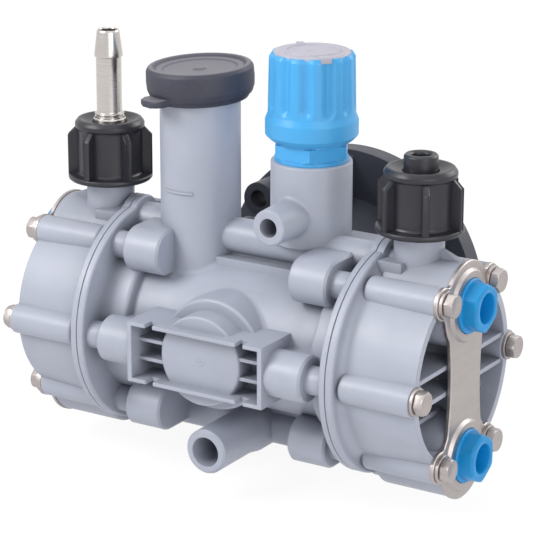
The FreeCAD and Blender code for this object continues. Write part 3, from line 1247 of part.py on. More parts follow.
def filler_cap():
    """Soft push-on cap: dished top, skirt, lip and pull tab, sitting a little askew."""
    top = FILLER_TOP_Z + CAP_TOP_T
    bottom = top - CAP_HEIGHT
    dish = top - CAP_DISH
    under = FILLER_TOP_Z
    body = turned("z", [(under, 0), (dish, 0), (dish, CAP_R - CAP_RIM_W - 1), (top, CAP_R - CAP_RIM_W),
                        (top, CAP_R), (bottom, CAP_R), (bottom, CAP_LIP_R), (bottom - CAP_LIP_T, CAP_LIP_R),
                        (bottom - CAP_LIP_T, CAP_WALL_R), (under, CAP_WALL_R)], FILLER_X, 0)

    def is_rim(edge):
        return isinstance(edge.Curve, Part.Circle) and abs(edge.Curve.Radius - CAP_R) < 0.01

    body = blended(body, CAP_EDGE_R, is_rim)
    bump = Part.makeSphere(CAP_BUMP_R, Vector(FILLER_X, 0, dish - CAP_BUMP_R * 0.5))
    bump = bump.common(cylinder("z", under + 0.5, top + CAP_BUMP_R, 2 * CAP_BUMP_R, FILLER_X, 0))
    tab_x = FILLER_X + TAB_REACH
    tab_z = bottom - TAB_DROP
    tab = block(FILLER_X + CAP_LIP_R - TAB_ROOT, tab_x, -TAB_W / 2, TAB_W / 2, tab_z, tab_z + TAB_T)
    corners = [e for e in tab.Edges if abs(e.CenterOfMass.x - tab_x) < 0.01 and e.BoundBox.ZLength > 1]
    tab = tab.makeFillet(TAB_CORNER_R, corners)
    tab.rotate(Vector(FILLER_X, 0, 0), DIRECTIONS["z"], TAB_ANGLE)
    cap = join([body, bump, tab])
    low_side = Vector(FILLER_X - FILLER_R * CAP_TILT_AXIS[1], FILLER_R * CAP_TILT_AXIS[0], FILLER_TOP_Z)
    cap.rotate(low_side, Vector(CAP_TILT_AXIS[0], CAP_TILT_AXIS[1], 0), -CAP_TILT)
    cap.translate(Vector(0, 0, GAP))
    return cap


# All pieces

def own_nodes():
    """Right-hand shapes of the nodes that each side has for itself."""
    return {
        "head": [head()],
        "diaphragm": [diaphragm()],
        "rod": [rod()],
        "delivery_poppet": [poppet(DELIVERY_Z)],
        "suction_poppet": [poppet(SUCTION_Z)],
        "delivery_spring": [valve_spring(DELIVERY_Z)],
        "suction_spring": [valve_spring(SUCTION_Z)],
        "valve_plugs": for_both_pockets(valve_plug),
        "clamp_plate": [clamp_plate()],
    }


def shared_nodes():
    """Right-hand shapes of the nodes that hold the like pieces of both sides."""
    return {
        "inner_discs": [inner_disc()],
        "outer_discs": [outer_disc()],
        "centre_screws": [centre_screw()],
        "rod_guides": [guide()],
        "valve_seats": for_both_pockets(valve_seat),
        "valve_cages": for_both_pockets(valve_cage),
        "plug_seals": for_both_pockets(plug_seal),
        "head_screws": head_screws(),
        "head_washers": head_washers(),
        "captive_nuts": captive_nuts(),
    }


def all_nodes():
    nodes = {"crankcase": [crankcase()]}
    for name, shapes in own_nodes().items():
        for side in SIDES:
            nodes[side + "_" + name] = [side_copy(shape, side) for shape in shapes]
    for name, shapes in shared_nodes().items():
        nodes[name] = [side_copy(shape, side) for side in SIDES for shape in shapes]
    for side in SIDES:
        nodes[side + "_union_nut"] = [union_nut(side)]
    nodes["union_gaskets"] = [union_gasket(side) for side in SIDES]
    nodes["hose_barb"] = [hose_barb()]
    nodes["hose_tail"] = [hose_tail()]
    nodes["yoke"] = yoke()
    nodes["crankshaft"] = [crankshaft()]
    nodes["front_bearing"] = bearing(FRONT_BEARING, FRONT_BEARING_END_Y)
    nodes["cam_bearing"] = bearing(CAM_BEARING, -CAM_BEARING["width"] / 2, 0, STROKE)
    nodes["rear_bearing"] = bearing(REAR_BEARING, REAR_BEARING_Y)
    nodes["shaft_seal"] = [shaft_seal()]
    nodes["drive_flange"] = [drive_flange()]
    nodes["flange_screws"] = flange_screws()
    nodes["regulator_bonnet"] = [regulator_bonnet()]
    nodes["regulator_knob"] = [regulator_knob()]
    nodes["knob_insert"] = [knob_insert()]
    nodes["regulator_spindle"] = [regulator_spindle()]
    nodes["spring_seat"] = [spring_seat()]
    nodes["regulator_seat"] = [regulator_seat()]
    nodes["regulator_poppet"] = [regulator_poppet()]
    nodes["regulator_spring"] = [regulator_spring()]
    nodes["filler_cap"] = [filler_cap()]
    return nodes


def save(name, shapes):
    """Write one node, moved so that the middle of the motor face is the origin."""
    solids = [solid for shape in shapes for solid in shape.Solids]
    shape = solids[0] if len(solids) == 1 else Part.makeCompound(solids)
    shape = shape.copy()
    shape.translate(Vector(0, -MOTOR_FACE_Y, 0))
    shape.exportStep("parts/" + name + ".step")


os.makedirs("parts", exist_ok=True)
for node, node_shapes in all_nodes().items():
    save(node, node_shapes)
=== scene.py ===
import json
import math

import bmesh
import bpy
from mathutils import Matrix, Vector


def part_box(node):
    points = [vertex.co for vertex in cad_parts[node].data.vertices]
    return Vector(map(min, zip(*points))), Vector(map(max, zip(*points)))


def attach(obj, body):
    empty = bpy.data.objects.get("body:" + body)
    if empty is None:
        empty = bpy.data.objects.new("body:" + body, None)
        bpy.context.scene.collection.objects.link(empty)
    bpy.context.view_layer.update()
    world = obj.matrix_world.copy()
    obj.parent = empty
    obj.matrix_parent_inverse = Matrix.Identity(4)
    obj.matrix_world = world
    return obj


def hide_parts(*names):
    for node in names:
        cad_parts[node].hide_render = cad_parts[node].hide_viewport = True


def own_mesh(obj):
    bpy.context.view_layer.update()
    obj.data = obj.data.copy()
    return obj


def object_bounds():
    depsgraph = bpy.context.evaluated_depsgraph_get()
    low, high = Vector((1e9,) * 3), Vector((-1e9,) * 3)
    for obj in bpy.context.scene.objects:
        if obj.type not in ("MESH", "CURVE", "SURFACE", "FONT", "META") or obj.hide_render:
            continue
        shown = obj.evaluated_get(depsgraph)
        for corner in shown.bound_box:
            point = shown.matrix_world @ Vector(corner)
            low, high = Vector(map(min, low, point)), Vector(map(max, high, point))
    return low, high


MM = 0.001
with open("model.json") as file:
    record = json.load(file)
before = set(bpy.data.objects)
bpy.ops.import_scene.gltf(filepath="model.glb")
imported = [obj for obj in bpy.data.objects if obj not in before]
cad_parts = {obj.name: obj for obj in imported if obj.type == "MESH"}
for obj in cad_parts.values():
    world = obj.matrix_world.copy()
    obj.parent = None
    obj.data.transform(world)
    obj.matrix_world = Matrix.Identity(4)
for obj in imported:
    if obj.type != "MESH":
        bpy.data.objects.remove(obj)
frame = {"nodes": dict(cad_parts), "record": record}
nodes = frame["nodes"]
cad_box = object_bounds()

# Where the pump's main axes run
CRANK_Y = -90 * MM                  # the crankshaft's middle, seen from the motor face
NECK_X = 81.2 * MM                  # outlet necks, left and right
REGULATOR = (24 * MM, CRANK_Y + 5 * MM)
FILLER_X = -31.2 * MM
FRONT_BOSS_Y = CRANK_Y - 49 * MM
DELIVERY_Z = 30.9 * MM              # valve pockets above and below the pump axis
SUCTION_Z = -37.7 * MM
SCREW_CIRCLE = 42.7 * MM
OUT = {"left": -1, "right": 1}      # which way each head looks along X

# The camera stands where the photograph was taken
CAMERA_AZIMUTH = 32.007
CAMERA_ELEVATION = 17.34
CAMERA_ROLL = 0.084
CAMERA_DISTANCE = 1.084245
CAMERA_TARGET = Vector((3.823 * MM, CRANK_Y, 31.299 * MM))
CAMERA_FOCAL_PX = 2418.355
PHOTO_WIDTH_PX = 533
SENSOR_MM = 36.0

# Edges sharper than these angles stay crisp
CAD_CREASE = math.radians(32)
PIECE_CREASE = math.radians(35)


# Materials

class Shader:
    """A material and the few node forms that the finishes share."""

    def __init__(self, name):
        self.material = bpy.data.materials.new(name)
        self.material.use_nodes = True
        self.tree = self.material.node_tree
        self.surface = self.tree.nodes["Principled BSDF"]
        self.place = self.node("ShaderNodeTexCoord").outputs["Object"]

    def node(self, kind, **settings):
        made = self.tree.nodes.new(kind)
        for name, value in settings.items():
            setattr(made, name, value)
        return made

    def link(self, start, end):
        self.tree.links.new(start, end)

    def stretched(self, scale):
        mapping = self.node("ShaderNodeMapping")
        mapping.inputs["Scale"].default_value = scale
        self.link(self.place, mapping.inputs["Vector"])
        return mapping.outputs["Vector"]

    def noise(self, scale, detail, roughness=0.5, at=None):
        made = self.node("ShaderNodeTexNoise")
        made.inputs["Scale"].default_value = scale
        made.inputs["Detail"].default_value = detail
        made.inputs["Roughness"].default_value = roughness
        self.link(self.place if at is None else at, made.inputs["Vector"])
        return made.outputs["Fac"]

    def ranged(self, value, low, high, new_low, new_high):
        made = self.node("ShaderNodeMapRange")
        made.inputs["From Min"].default_value = low
        made.inputs["From Max"].default_value = high
        made.inputs["To Min"].default_value = new_low
        made.inputs["To Max"].default_value = new_high
        self.link(value, made.inputs["Value"])
        return made.outputs["Result"]

    def spread(self, noise, low, high):
        """The middle of a noise's values, where most of them lie, drawn out from low to high."""
        return self.ranged(noise, 0.3, 0.7, low, high)

    def patches(self, value, first, full, most):
        """0 up to the first value, then rising to most at the full one."""
        return self.ranged(value, first, full, 0, most)

    def mixed(self, factor, first, second):
        made = self.node("ShaderNodeMix", data_type="RGBA")
        self.link(factor, made.inputs["Factor"])
        for socket, colour in ((made.inputs[6], first), (made.inputs[7], second)):
            if isinstance(colour, tuple):
                socket.default_value = (*colour, 1.0)
            else:
                self.link(colour, socket)
        return made.outputs[2]

    def bump(self, height, distance, strength, under):
        """Normals that follow the height, on top of the normals under it."""
        made = self.node("ShaderNodeBump")
        made.inputs["Distance"].default_value = distance
        made.inputs["Strength"].default_value = strength
        self.link(height, made.inputs["Height"])
        self.link(under, made.inputs["Normal"])
        return made.outputs["Normal"]

    def eased(self, radius):
        """Normals that round every edge off by the radius."""
        made = self.node("ShaderNodeBevel", samples=4)
        made.inputs["Radius"].default_value = radius
        return made.outputs["Normal"]

    def edges(self, eased):
        """From 0 on the open faces to 1 on the eased edges."""
        flat = self.node("ShaderNodeNewGeometry").outputs["Normal"]
        agreement = self.node("ShaderNodeVectorMath", operation="DOT_PRODUCT")
        self.link(eased, agreement.inputs[0])
        self.link(flat, agreement.inputs[1])
        on_face = 0.99
        on_edge = 0.8
        return self.ranged(agreement.outputs["Value"], on_face, on_edge, 0, 1)

    def hollows(self, reach):
        """From 1 on open faces down to 0 deep in a corner or a hole."""
        made = self.node("ShaderNodeAmbientOcclusion", samples=6, only_local=True)
        made.inputs["Distance"].default_value = reach
        return made.outputs["AO"]

    def set(self, **values):
        for name, value in values.items():
            socket = self.surface.inputs[name.replace("_", " ")]
            if hasattr(value, "is_output"):
                self.link(value, socket)
            else:
                socket.default_value = value


def linear(hex_colour):
    """Linear colour of an sRGB hex number."""
    parts = [int(hex_colour[i:i + 2], 16) / 255 for i in (0, 2, 4)]
    return tuple(c / 12.92 if c <= 0.04045 else ((c + 0.055) / 1.055) ** 2.4 for c in parts)


def shade(colour, factor):
    """The colour made darker or brighter, at most white."""
    return tuple(min(1.0, c * factor) for c in colour)


def moulded(name, hex_colour, roughness, grain, contrast, easing=0.4, wear=1.12, painted_corner_shade=0.0):
    """Moulded plastic with mottling, flow streaks, mould grain, worn edges and painted shade darkening its
    hollows.

    The depth of the grain and the easing of the edges are in millimetres.
    """
    s = Shader(name)
    colour = linear(hex_colour)
    clouds = s.noise(38, detail=3)
    streaks = s.noise(16, detail=4, roughness=0.55, at=s.stretched((1, 1, 7)))
    specks = s.noise(900, detail=2)
    base = s.mixed(s.spread(clouds, 0, 1), shade(colour, 1 - contrast), shade(colour, 1 + contrast))
    flow = s.mixed(s.patches(streaks, 0.5, 0.8, 0.4), base, shade(colour, 1 + 1.8 * contrast))
    specked = s.mixed(s.patches(specks, 0.62, 0.75, 0.35), flow, shade(colour, 1 - 3 * contrast))
    round_edge = s.eased(easing * MM)
    skin = s.mixed(s.edges(round_edge), specked, shade(colour, wear))
    # Painted shade: corners and holes are darkened in the base colour, where shade falls.
    if painted_corner_shade:
        shaded_corners = s.ranged(s.hollows(12 * MM), 0.25, 0.9, painted_corner_shade, 0)
        skin = s.mixed(shaded_corners, skin, shade(colour, 0.3))
    gloss = s.spread(s.noise(120, detail=4), roughness - 0.05, roughness + 0.06)
    ripple = s.bump(s.noise(55, detail=2), 0.12 * MM, 0.3, round_edge)
    pores = s.bump(s.noise(2600, detail=2, roughness=0.6), grain * MM, 0.5, ripple)
    s.set(Base_Color=skin, Roughness=gloss, Normal=pores, IOR=1.49)
    return s.material


def brushed(name, hex_colour, roughness, stretch):
    """Steel with fine parallel scratches, faint stains and brighter rubbed edges."""
    s = Shader(name)
    colour = linear(hex_colour)
    lines = s.noise(60, detail=6, roughness=0.7, at=s.stretched(stretch))
    stains = s.noise(45, detail=3)
    smears = s.noise(9, detail=5, roughness=0.6)
    base = s.mixed(s.spread(lines, 0, 1), shade(colour, 0.9), shade(colour, 1.07))
    dulled = s.mixed(s.patches(stains, 0.55, 0.8, 0.45), base, shade(colour, 0.76))
    round_edge = s.eased(0.3 * MM)
    rubbed = s.mixed(s.edges(round_edge), dulled, shade(colour, 1.2))
    gloss = s.node("ShaderNodeMath", operation="ADD")
    s.link(s.spread(lines, roughness - 0.06, roughness + 0.08), gloss.inputs[0])
    s.link(s.patches(smears, 0.4, 0.7, 0.08), gloss.inputs[1])
    scratches = s.bump(lines, 0.006 * MM, 0.6, round_edge)
    s.set(Base_Color=rubbed, Metallic=1.0, Roughness=gloss.outputs[0], Normal=scratches)
    return s.material


def turned(name, hex_colour, roughness):
    """Lathe-turned steel: fine rings across the axis and a soft uneven gloss."""
    s = Shader(name)
    colour = linear(hex_colour)
    rings = s.noise(40, detail=4, roughness=0.6, at=s.stretched((1, 1, 60)))
    base = s.mixed(s.spread(rings, 0, 1), shade(colour, 0.9), shade(colour, 1.08))
    gloss = s.spread(s.noise(150, detail=3), roughness - 0.05, roughness + 0.07)
    tool_marks = s.bump(rings, 0.008 * MM, 0.5, s.eased(0.2 * MM))
    s.set(Base_Color=base, Metallic=1.0, Roughness=gloss, Normal=tool_marks)
    return s.material


def rubber(name, hex_colour, roughness, dust_and_top_sheen=0.0):
    """Soft rubber: pale bloom on a pebbled skin, paler along its edges, with some dust and a painted sheen on
    faces that look up.
    """
    s = Shader(name)
    colour = linear(hex_colour)
    bloom = s.noise(70, detail=5, roughness=0.65)
    pebbles = s.noise(1100, detail=3)
    base = s.mixed(s.patches(bloom, 0.45, 0.75, 0.6), colour, shade(colour, 1.5))
    dusty = s.mixed(s.patches(pebbles, 0.55, 0.75, 0.5), base, shade(colour, 2.0))
    facing = s.node("ShaderNodeSeparateXYZ")
    s.link(s.node("ShaderNodeNewGeometry").outputs["Normal"], facing.inputs[0])
    # Painted sheen with some dust: faces that look up are painted paler, as a light from above would show
    # them.
    dusty_lit_top = s.mixed(s.patches(facing.outputs["Z"], 0.75, 1.0, dust_and_top_sheen), dusty, linear("B5B1B8"))
    round_edge = s.eased(0.5 * MM)
    rubbed = s.mixed(s.edges(round_edge), dusty_lit_top, shade(colour, 1.9))
    gloss = s.spread(bloom, roughness - 0.06, roughness + 0.06)
    skin = s.bump(pebbles, 0.04 * MM, 0.7, round_edge)
    s.set(Base_Color=rubbed, Roughness=gloss, Normal=skin)
    return s.material


FINISH = {
    # The grey mouldings get painted shade in their corners and holes.
    "grey_polymer": moulded("grey moulded polymer", "A9ADBA", roughness=0.42, grain=0.012, contrast=0.045,
                            easing=0.5, painted_corner_shade=0.5),
    "blue_knob": moulded("sky blue knob", "47A6E0", roughness=0.38, grain=0.006, contrast=0.03, wear=1.08),
    "blue_plug": moulded("deep blue plug", "008CCC", roughness=0.42, grain=0.008, contrast=0.04, easing=0.5),
    "pale_disc": moulded("pale knob disc", "B2B0BC", roughness=0.45, grain=0.01, contrast=0.04, easing=0.3),
    "black_nut": moulded("black union polymer", "26262D", roughness=0.36, grain=0.015, contrast=0.1,
                         wear=1.5),
    "black_flange": moulded("black flange polymer", "3C3E48", roughness=0.46, grain=0.03, contrast=0.12,
                            easing=0.5, wear=1.4),
    # The cap's top is painted paler: a painted sheen from the top light, with some dust.
    "black_rubber": rubber("dark cap rubber", "363743", roughness=0.55, dust_and_top_sheen=0.32),
    "seal_rubber": rubber("black seal rubber", "202024", roughness=0.6),
    "stainless": brushed("brushed stainless", "B4ADAB", roughness=0.42, stretch=(1, 1, 9)),
    "turned_steel": turned("turned stainless", "C6C0BC", roughness=0.24),
    "bearing_steel": turned("ground bearing steel", "C2C2C6", roughness=0.16),
    "crank_steel": brushed("machined crank steel", "A3A2A4", roughness=0.34, stretch=(7, 1, 7)),
    "cast_alloy": brushed("machined alloy", "BDBEC2", roughness=0.4, stretch=(5, 5, 1)),
    "valve_polymer": moulded("ivory valve polymer", "DDDAD0", roughness=0.4, grain=0.01, contrast=0.04),
    "spring_steel": turned("drawn spring wire", "A9A9AE", roughness=0.25),
}


def smoothing_tree():
    """Welds the loose triangles of a CAD node, shades its curved faces smooth and keeps its edges crisp."""
    tree = bpy.data.node_groups.new("soft curved faces", "GeometryNodeTree")
    tree.interface.new_socket("Geometry", in_out="INPUT", socket_type="NodeSocketGeometry")
    angle = tree.interface.new_socket("Crease angle", in_out="INPUT", socket_type="NodeSocketFloat")
    angle.default_value = CAD_CREASE
    tree.interface.new_socket("Geometry", in_out="OUTPUT", socket_type="NodeSocketGeometry")
    start = tree.nodes.new("NodeGroupInput")
    end = tree.nodes.new("NodeGroupOutput")
    weld = tree.nodes.new("GeometryNodeMergeByDistance")
    weld.inputs["Distance"].default_value = 0.01 * MM
    edge = tree.nodes.new("GeometryNodeInputMeshEdgeAngle")
    flat = tree.nodes.new("FunctionNodeCompare")
    flat.operation = "LESS_EQUAL"
    faces = tree.nodes.new("GeometryNodeSetShadeSmooth")
    edges = tree.nodes.new("GeometryNodeSetShadeSmooth")
    edges.domain = "EDGE"
    link = tree.links.new
    link(start.outputs["Geometry"], weld.inputs["Geometry"])
    link(weld.outputs["Geometry"], faces.inputs["Geometry"])
    link(faces.outputs["Geometry"], edges.inputs["Geometry"])
    link(edge.outputs["Unsigned Angle"], flat.inputs[0])
    link(start.outputs["Crease angle"], flat.inputs[1])
    link(flat.outputs["Result"], edges.inputs["Shade Smooth"])
    link(edges.outputs["Geometry"], end.inputs["Geometry"])
    return tree


SMOOTHING = smoothing_tree()
slot_of = {part["node"]: part["material_slot"] for part in frame["record"]["subparts"]}


def dress_node(name):
    """A CAD node keeps its shape and gets its finish and smooth curved faces."""
    obj = nodes[name]
    obj.data.materials.clear()
    obj.data.materials.append(FINISH[slot_of[name]])
    smooth = obj.modifiers.new("soft curved faces", "NODES")
    smooth.node_group = SMOOTHING


for node_name in nodes:
    dress_node(node_name)


# Geometry trees

def made_plain(obj):
    """Puts what the modifiers make of the mesh in its place."""
    bpy.context.view_layer.update()
    graph = bpy.context.evaluated_depsgraph_get()
    plain = bpy.data.meshes.new_from_object(obj.evaluated_get(graph), depsgraph=graph)
    obj.modifiers.clear()
    old = obj.data
    obj.data = plain
    bpy.data.meshes.remove(old)
    return obj


class Field:
    """A value inside a geometry tree, written as a sum or product of others."""

    def __init__(self, tree, socket):
        self.tree = tree
        self.socket = socket

    def calculated(self, operation, *others):
        made = self.tree.nodes.new("ShaderNodeMath")
        made.operation = operation
        for socket, value in zip(made.inputs, (self,) + others):
            if isinstance(value, Field):
                self.tree.links.new(value.socket, socket)
            else:
                socket.default_value = value
        return Field(self.tree, made.outputs[0])

    def __add__(self, other):
        return self.calculated("ADD", other)

    def __sub__(self, other):
        return self.calculated("SUBTRACT", other)

    def __mul__(self, other):
        return self.calculated("MULTIPLY", other)

    def __truediv__(self, other):
        return self.calculated("DIVIDE", other)

    def limited(self, low, high):
        return self.calculated("MAXIMUM", low).calculated("MINIMUM", high)


class Rule:
    """A geometry tree with named numbers, applied to a mesh and then made plain."""

    def __init__(self, name, **numbers):
        self.tree = bpy.data.node_groups.new(name, "GeometryNodeTree")
        face = self.tree.interface
        face.new_socket("Geometry", in_out="INPUT", socket_type="NodeSocketGeometry")
        for label, number in numbers.items():
            kind = "NodeSocketInt" if isinstance(number, int) else "NodeSocketFloat"
            face.new_socket(label, in_out="INPUT", socket_type=kind).default_value = number
        face.new_socket("Finish", in_out="INPUT", socket_type="NodeSocketMaterial")
        face.new_socket("Geometry", in_out="OUTPUT", socket_type="NodeSocketGeometry")
        self.start = self.node("NodeGroupInput")
        self.end = self.node("NodeGroupOutput")

    def node(self, kind):
        return self.tree.nodes.new(kind)

    def link(self, start, socket):
        self.tree.links.new(start.socket if isinstance(start, Field) else start, socket)

    def number(self, label):
        return Field(self.tree, self.start.outputs[label])

    def position(self):
        split = self.node("ShaderNodeSeparateXYZ")
        self.link(self.node("GeometryNodeInputPosition").outputs[0], split.inputs[0])
        return [Field(self.tree, socket) for socket in split.outputs]

    def vector(self, x, y, z):
        made = self.node("ShaderNodeCombineXYZ")
        for socket, value in zip(made.inputs, (x, y, z)):
            if isinstance(value, Field):
                self.link(value, socket)
            else:
                socket.default_value = value
        return made.outputs[0]

    def finish(self, geometry):
        """Every tree ends with real copies in one finish."""
        real = self.node("GeometryNodeRealizeInstances")
        coat = self.node("GeometryNodeSetMaterial")
        self.link(geometry, real.inputs["Geometry"])
        self.link(real.outputs["Geometry"], coat.inputs["Geometry"])
        self.link(self.start.outputs["Finish"], coat.inputs["Material"])
        self.link(coat.outputs["Geometry"], self.end.inputs["Geometry"])

    def applied(self, obj, finish, **numbers):
        """Runs the tree on obj and leaves a plain mesh."""
        modifier = obj.modifiers.new(self.tree.name, "NODES")
        modifier.node_group = self.tree
        numbers["Finish"] = FINISH[finish]
        for socket in self.tree.interface.items_tree:
            if socket.in_out == "INPUT" and socket.name in numbers:
                modifier[socket.identifier] = numbers[socket.name]
        return made_plain(obj)


def ring_rule():
    """Copies of a piece on a circle about Z; those near the X axis may sit lower."""
    rule = Rule("copies on a circle", Count=6, Radius=0.01, Phase=0.0, Step=0.0, Drop=0.0)
    near_axis = 0.05                # square of the sine, up to which a copy is near the X axis
    points = rule.node("GeometryNodePoints")
    rule.link(rule.number("Count"), points.inputs["Count"])
    index = Field(rule.tree, rule.node("GeometryNodeInputIndex").outputs[0])
    angle = rule.number("Phase") + index * math.tau / rule.number("Count")
    across = angle.calculated("SINE")
    low = (across * across).calculated("LESS_THAN", near_axis)
    x = angle.calculated("COSINE") * rule.number("Radius")
    y = across * rule.number("Radius")
    z = low * rule.number("Drop") * -1.0
    rule.link(rule.vector(x, y, z), points.inputs["Position"])
    copies = rule.node("GeometryNodeInstanceOnPoints")
    rule.link(points.outputs[0], copies.inputs["Points"])
    rule.link(rule.start.outputs["Geometry"], copies.inputs["Instance"])
    rule.link(rule.vector(0.0, 0.0, angle + index * rule.number("Step")), copies.inputs["Rotation"])
    rule.finish(copies.outputs[0])
    return rule


def flute_rule():
    """Presses round-ended flutes into a turned body that stands on Z."""
    rule = Rule("flutes", Count=12, Radius=0.02, Phase=0.0, Depth=0.001, Width=0.005, Lower_end=0.01)
    x, y, z = rule.position()
    radius = rule.number("Radius")
    width = rule.number("Width")
    angle = y.calculated("ARCTAN2", x) - rule.number("Phase")
    turn = angle * rule.number("Count") / math.tau
    off = (turn - turn.calculated("ROUND")) / rule.number("Count") * radius * math.tau
    below = (rule.number("Lower_end") + width * 0.5 - z).limited(0.0, 1.0)
    away = (off * off + below * below).calculated("SQRT")
    hollow = (away / width * -2.0 + 1.0).limited(0.0, 1.0)
    soft = hollow * hollow * (hollow * -2.0 + 3.0)
    # Only the outer quarter of the body moves, so its bore stays round
    outer = ((x * x + y * y).calculated("SQRT") / radius * 4.0 - 3.0).limited(0.0, 1.0)
    inward = soft * rule.number("Depth") * outer / radius * -1.0
    move = rule.node("GeometryNodeSetPosition")
    rule.link(rule.start.outputs["Geometry"], move.inputs["Geometry"])
    rule.link(rule.vector(x * inward, y * inward, 0.0), move.inputs["Offset"])
    rule.finish(move.outputs[0])
    return rule


def coil_rule():
    """A round wire wound on a helix that stands on Z, its ends closed."""
    rule = Rule("wound wire", Turns=5.0, Radius=0.005, Height=0.01, Wire=0.0005)
    helix = rule.node("GeometryNodeCurveSpiral")
    helix.inputs["Resolution"].default_value = 28
    rule.link(rule.number("Turns"), helix.inputs["Rotations"])
    rule.link(rule.number("Radius"), helix.inputs["Start Radius"])
    rule.link(rule.number("Radius"), helix.inputs["End Radius"])
    rule.link(rule.number("Height"), helix.inputs["Height"])
    section = rule.node("GeometryNodeCurvePrimitiveCircle")
    section.inputs["Resolution"].default_value = 10
    rule.link(rule.number("Wire"), section.inputs["Radius"])
    wire = rule.node("GeometryNodeCurveToMesh")
    wire.inputs["Fill Caps"].default_value = True
    rule.link(helix.outputs[0], wire.inputs["Curve"])
    rule.link(section.outputs["Curve"], wire.inputs["Profile Curve"])
    rule.finish(wire.outputs[0])
    return rule


RING = ring_rule()
FLUTES = flute_rule()
COIL = coil_rule()


# Mesh forms, with sizes in millimetres

AROUND = 96                         # points round a plain circle or hexagon
ON_AXIS = 0.0001                    # a smaller radius counts as the axis
EDGE_STEPS = 3                      # faces across a rounded edge


def piece(name, mesh):
    obj = bpy.data.objects.new(name, mesh)
    bpy.context.scene.collection.objects.link(obj)
    return obj


def mesh_of(name, build):
    """A mesh from a function that fills a bmesh; doubles are merged and faces turned outwards."""
    form = bmesh.new()
    build(form)
    bmesh.ops.remove_doubles(form, verts=form.verts, dist=0.001 * MM)
    bmesh.ops.recalc_face_normals(form, faces=form.faces)
    mesh = bpy.data.meshes.new(name)
    form.to_mesh(mesh)
    form.free()
    return mesh


def joined(name, *meshes):
    """One mesh from several closed ones."""
    form = bmesh.new()
    for mesh in meshes:
        form.from_mesh(mesh)
        bpy.data.meshes.remove(mesh)
    mesh = bpy.data.meshes.new(name)
    form.to_mesh(mesh)
    form.free()
    return mesh


def softened(points, radius):
    """A profile of (radius, height) points whose inner corners are rounded by an arc."""
    slight_turn = 0.12
    most_of_a_side = 0.48
    steps = 4
    rounded = [points[0]]
    for before, corner, after in zip(points, points[1:], points[2:]):
        a = Vector(before) - Vector(corner)
        b = Vector(after) - Vector(corner)
        turn = math.pi - a.angle(b) if a.length and b.length else 0
        if turn < slight_turn:
            rounded.append(corner)
            continue
        reach = min(radius * math.tan(turn / 2), a.length * most_of_a_side, b.length * most_of_a_side)
        start = Vector(corner) + a.normalized() * reach
        stop = Vector(corner) + b.normalized() * reach
        for i in range(steps + 1):
            t = i / steps
            at = start * (1 - t) ** 2 + Vector(corner) * 2 * t * (1 - t) + stop * t ** 2
            rounded.append((at.x, at.y))
    rounded.append(points[-1])
    return rounded


def circle_row(radius, height, around=AROUND):
    """A row of points round a circle."""
    r = radius * MM
    angles = [math.tau * i / around for i in range(around)]
    return [(r * math.cos(angle), r * math.sin(angle), height * MM) for angle in angles]


def circle_rows(profile, around=AROUND):
    return [circle_row(radius, height, around) for radius, height in profile]


def six_sided(flats, corner, height, inset=0.0):
    """A row of points round a hexagon whose corners are turned off."""
    sharpness = 14
    row = []
    for i in range(AROUND):
        angle = math.tau * i / AROUND
        off = (angle + math.pi / 6) % (math.pi / 3) - math.pi / 6
        straight = flats / 2 / math.cos(off)
        r = (straight ** -sharpness + corner ** -sharpness) ** (-1 / sharpness) - inset
        row.append((r * math.cos(angle) * MM, r * math.sin(angle) * MM, height * MM))
    return row


def spun(name, profile, rounding, around):
    """A closed turned mesh about Z from (radius, height) points."""
    rows = softened(profile, rounding)

    def build(form):
        rings = []
        for r, z in rows:
            points = [(0, 0, z * MM)] if r < ON_AXIS else circle_row(r, z, around)
            rings.append([form.verts.new(point) for point in points])
        closed = rows[0][0] > ON_AXIS and rows[-1][0] > ON_AXIS
        pairs = list(zip(rings, rings[1:])) + ([(rings[-1], rings[0])] if closed else [])
        for low, high in pairs:
            for i in range(around):
                j = (i + 1) % around
                shaded_corners = [low[i % len(low)], low[j % len(low)], high[j % len(high)], high[i % len(high)]]
                unique = list(dict.fromkeys(shaded_corners))
                if len(unique) > 2:
                    form.faces.new(unique)
    return mesh_of(name, build)


def spun_piece(name, profile, rounding, around=128):
    return piece(name, spun(name, profile, rounding, around))


def lofted(name, rows):
    """A closed skin through rows of points that go round alike; the first and last row are capped."""
    def build(form):
        rings = [[form.verts.new(point) for point in row] for row in rows]
        for low, high in zip(rings, rings[1:]):
            for i in range(len(low)):
                j = (i + 1) % len(low)
                form.faces.new((low[i], low[j], high[j], high[i]))
        form.faces.new(list(reversed(rings[0])))
        form.faces.new(rings[-1])
    return mesh_of(name, build)


def soften_edges(form, edges, width):
    bmesh.ops.bevel(form, geom=edges, offset=width * MM, segments=EDGE_STEPS, profile=0.5, affect="EDGES")


def slab(name, outline, low, high, edge):
    """A plate from an (x, y) outline, its rims rounded over."""
    level = 0.000001 * MM

    def build(form):
        bottom = [form.verts.new((x * MM, y * MM, low * MM)) for x, y in outline]
        top = [form.verts.new((x * MM, y * MM, high * MM)) for x, y in outline]
        form.faces.new(list(reversed(bottom)))
        form.faces.new(top)
        for i in range(len(outline)):
            j = (i + 1) % len(outline)
            form.faces.new((bottom[i], bottom[j], top[j], top[i]))
        rims = [e for e in form.edges if abs(e.verts[0].co.z - e.verts[1].co.z) < level]
        soften_edges(form, rims, edge)
    return mesh_of(name, build)


def bar(start, stop, half_width):
    """Outline of a bar along X."""
    return [(start, -half_width), (stop, -half_width), (stop, half_width), (start, half_width)]


def coil(name, turns, radius, height, wire):
    """A wire spring that stands on Z."""
    empty = piece(name, bpy.data.meshes.new(name))
    return COIL.applied(empty, "spring_steel", Turns=turns, Radius=radius * MM, Height=height * MM,
                        Wire=wire * MM)


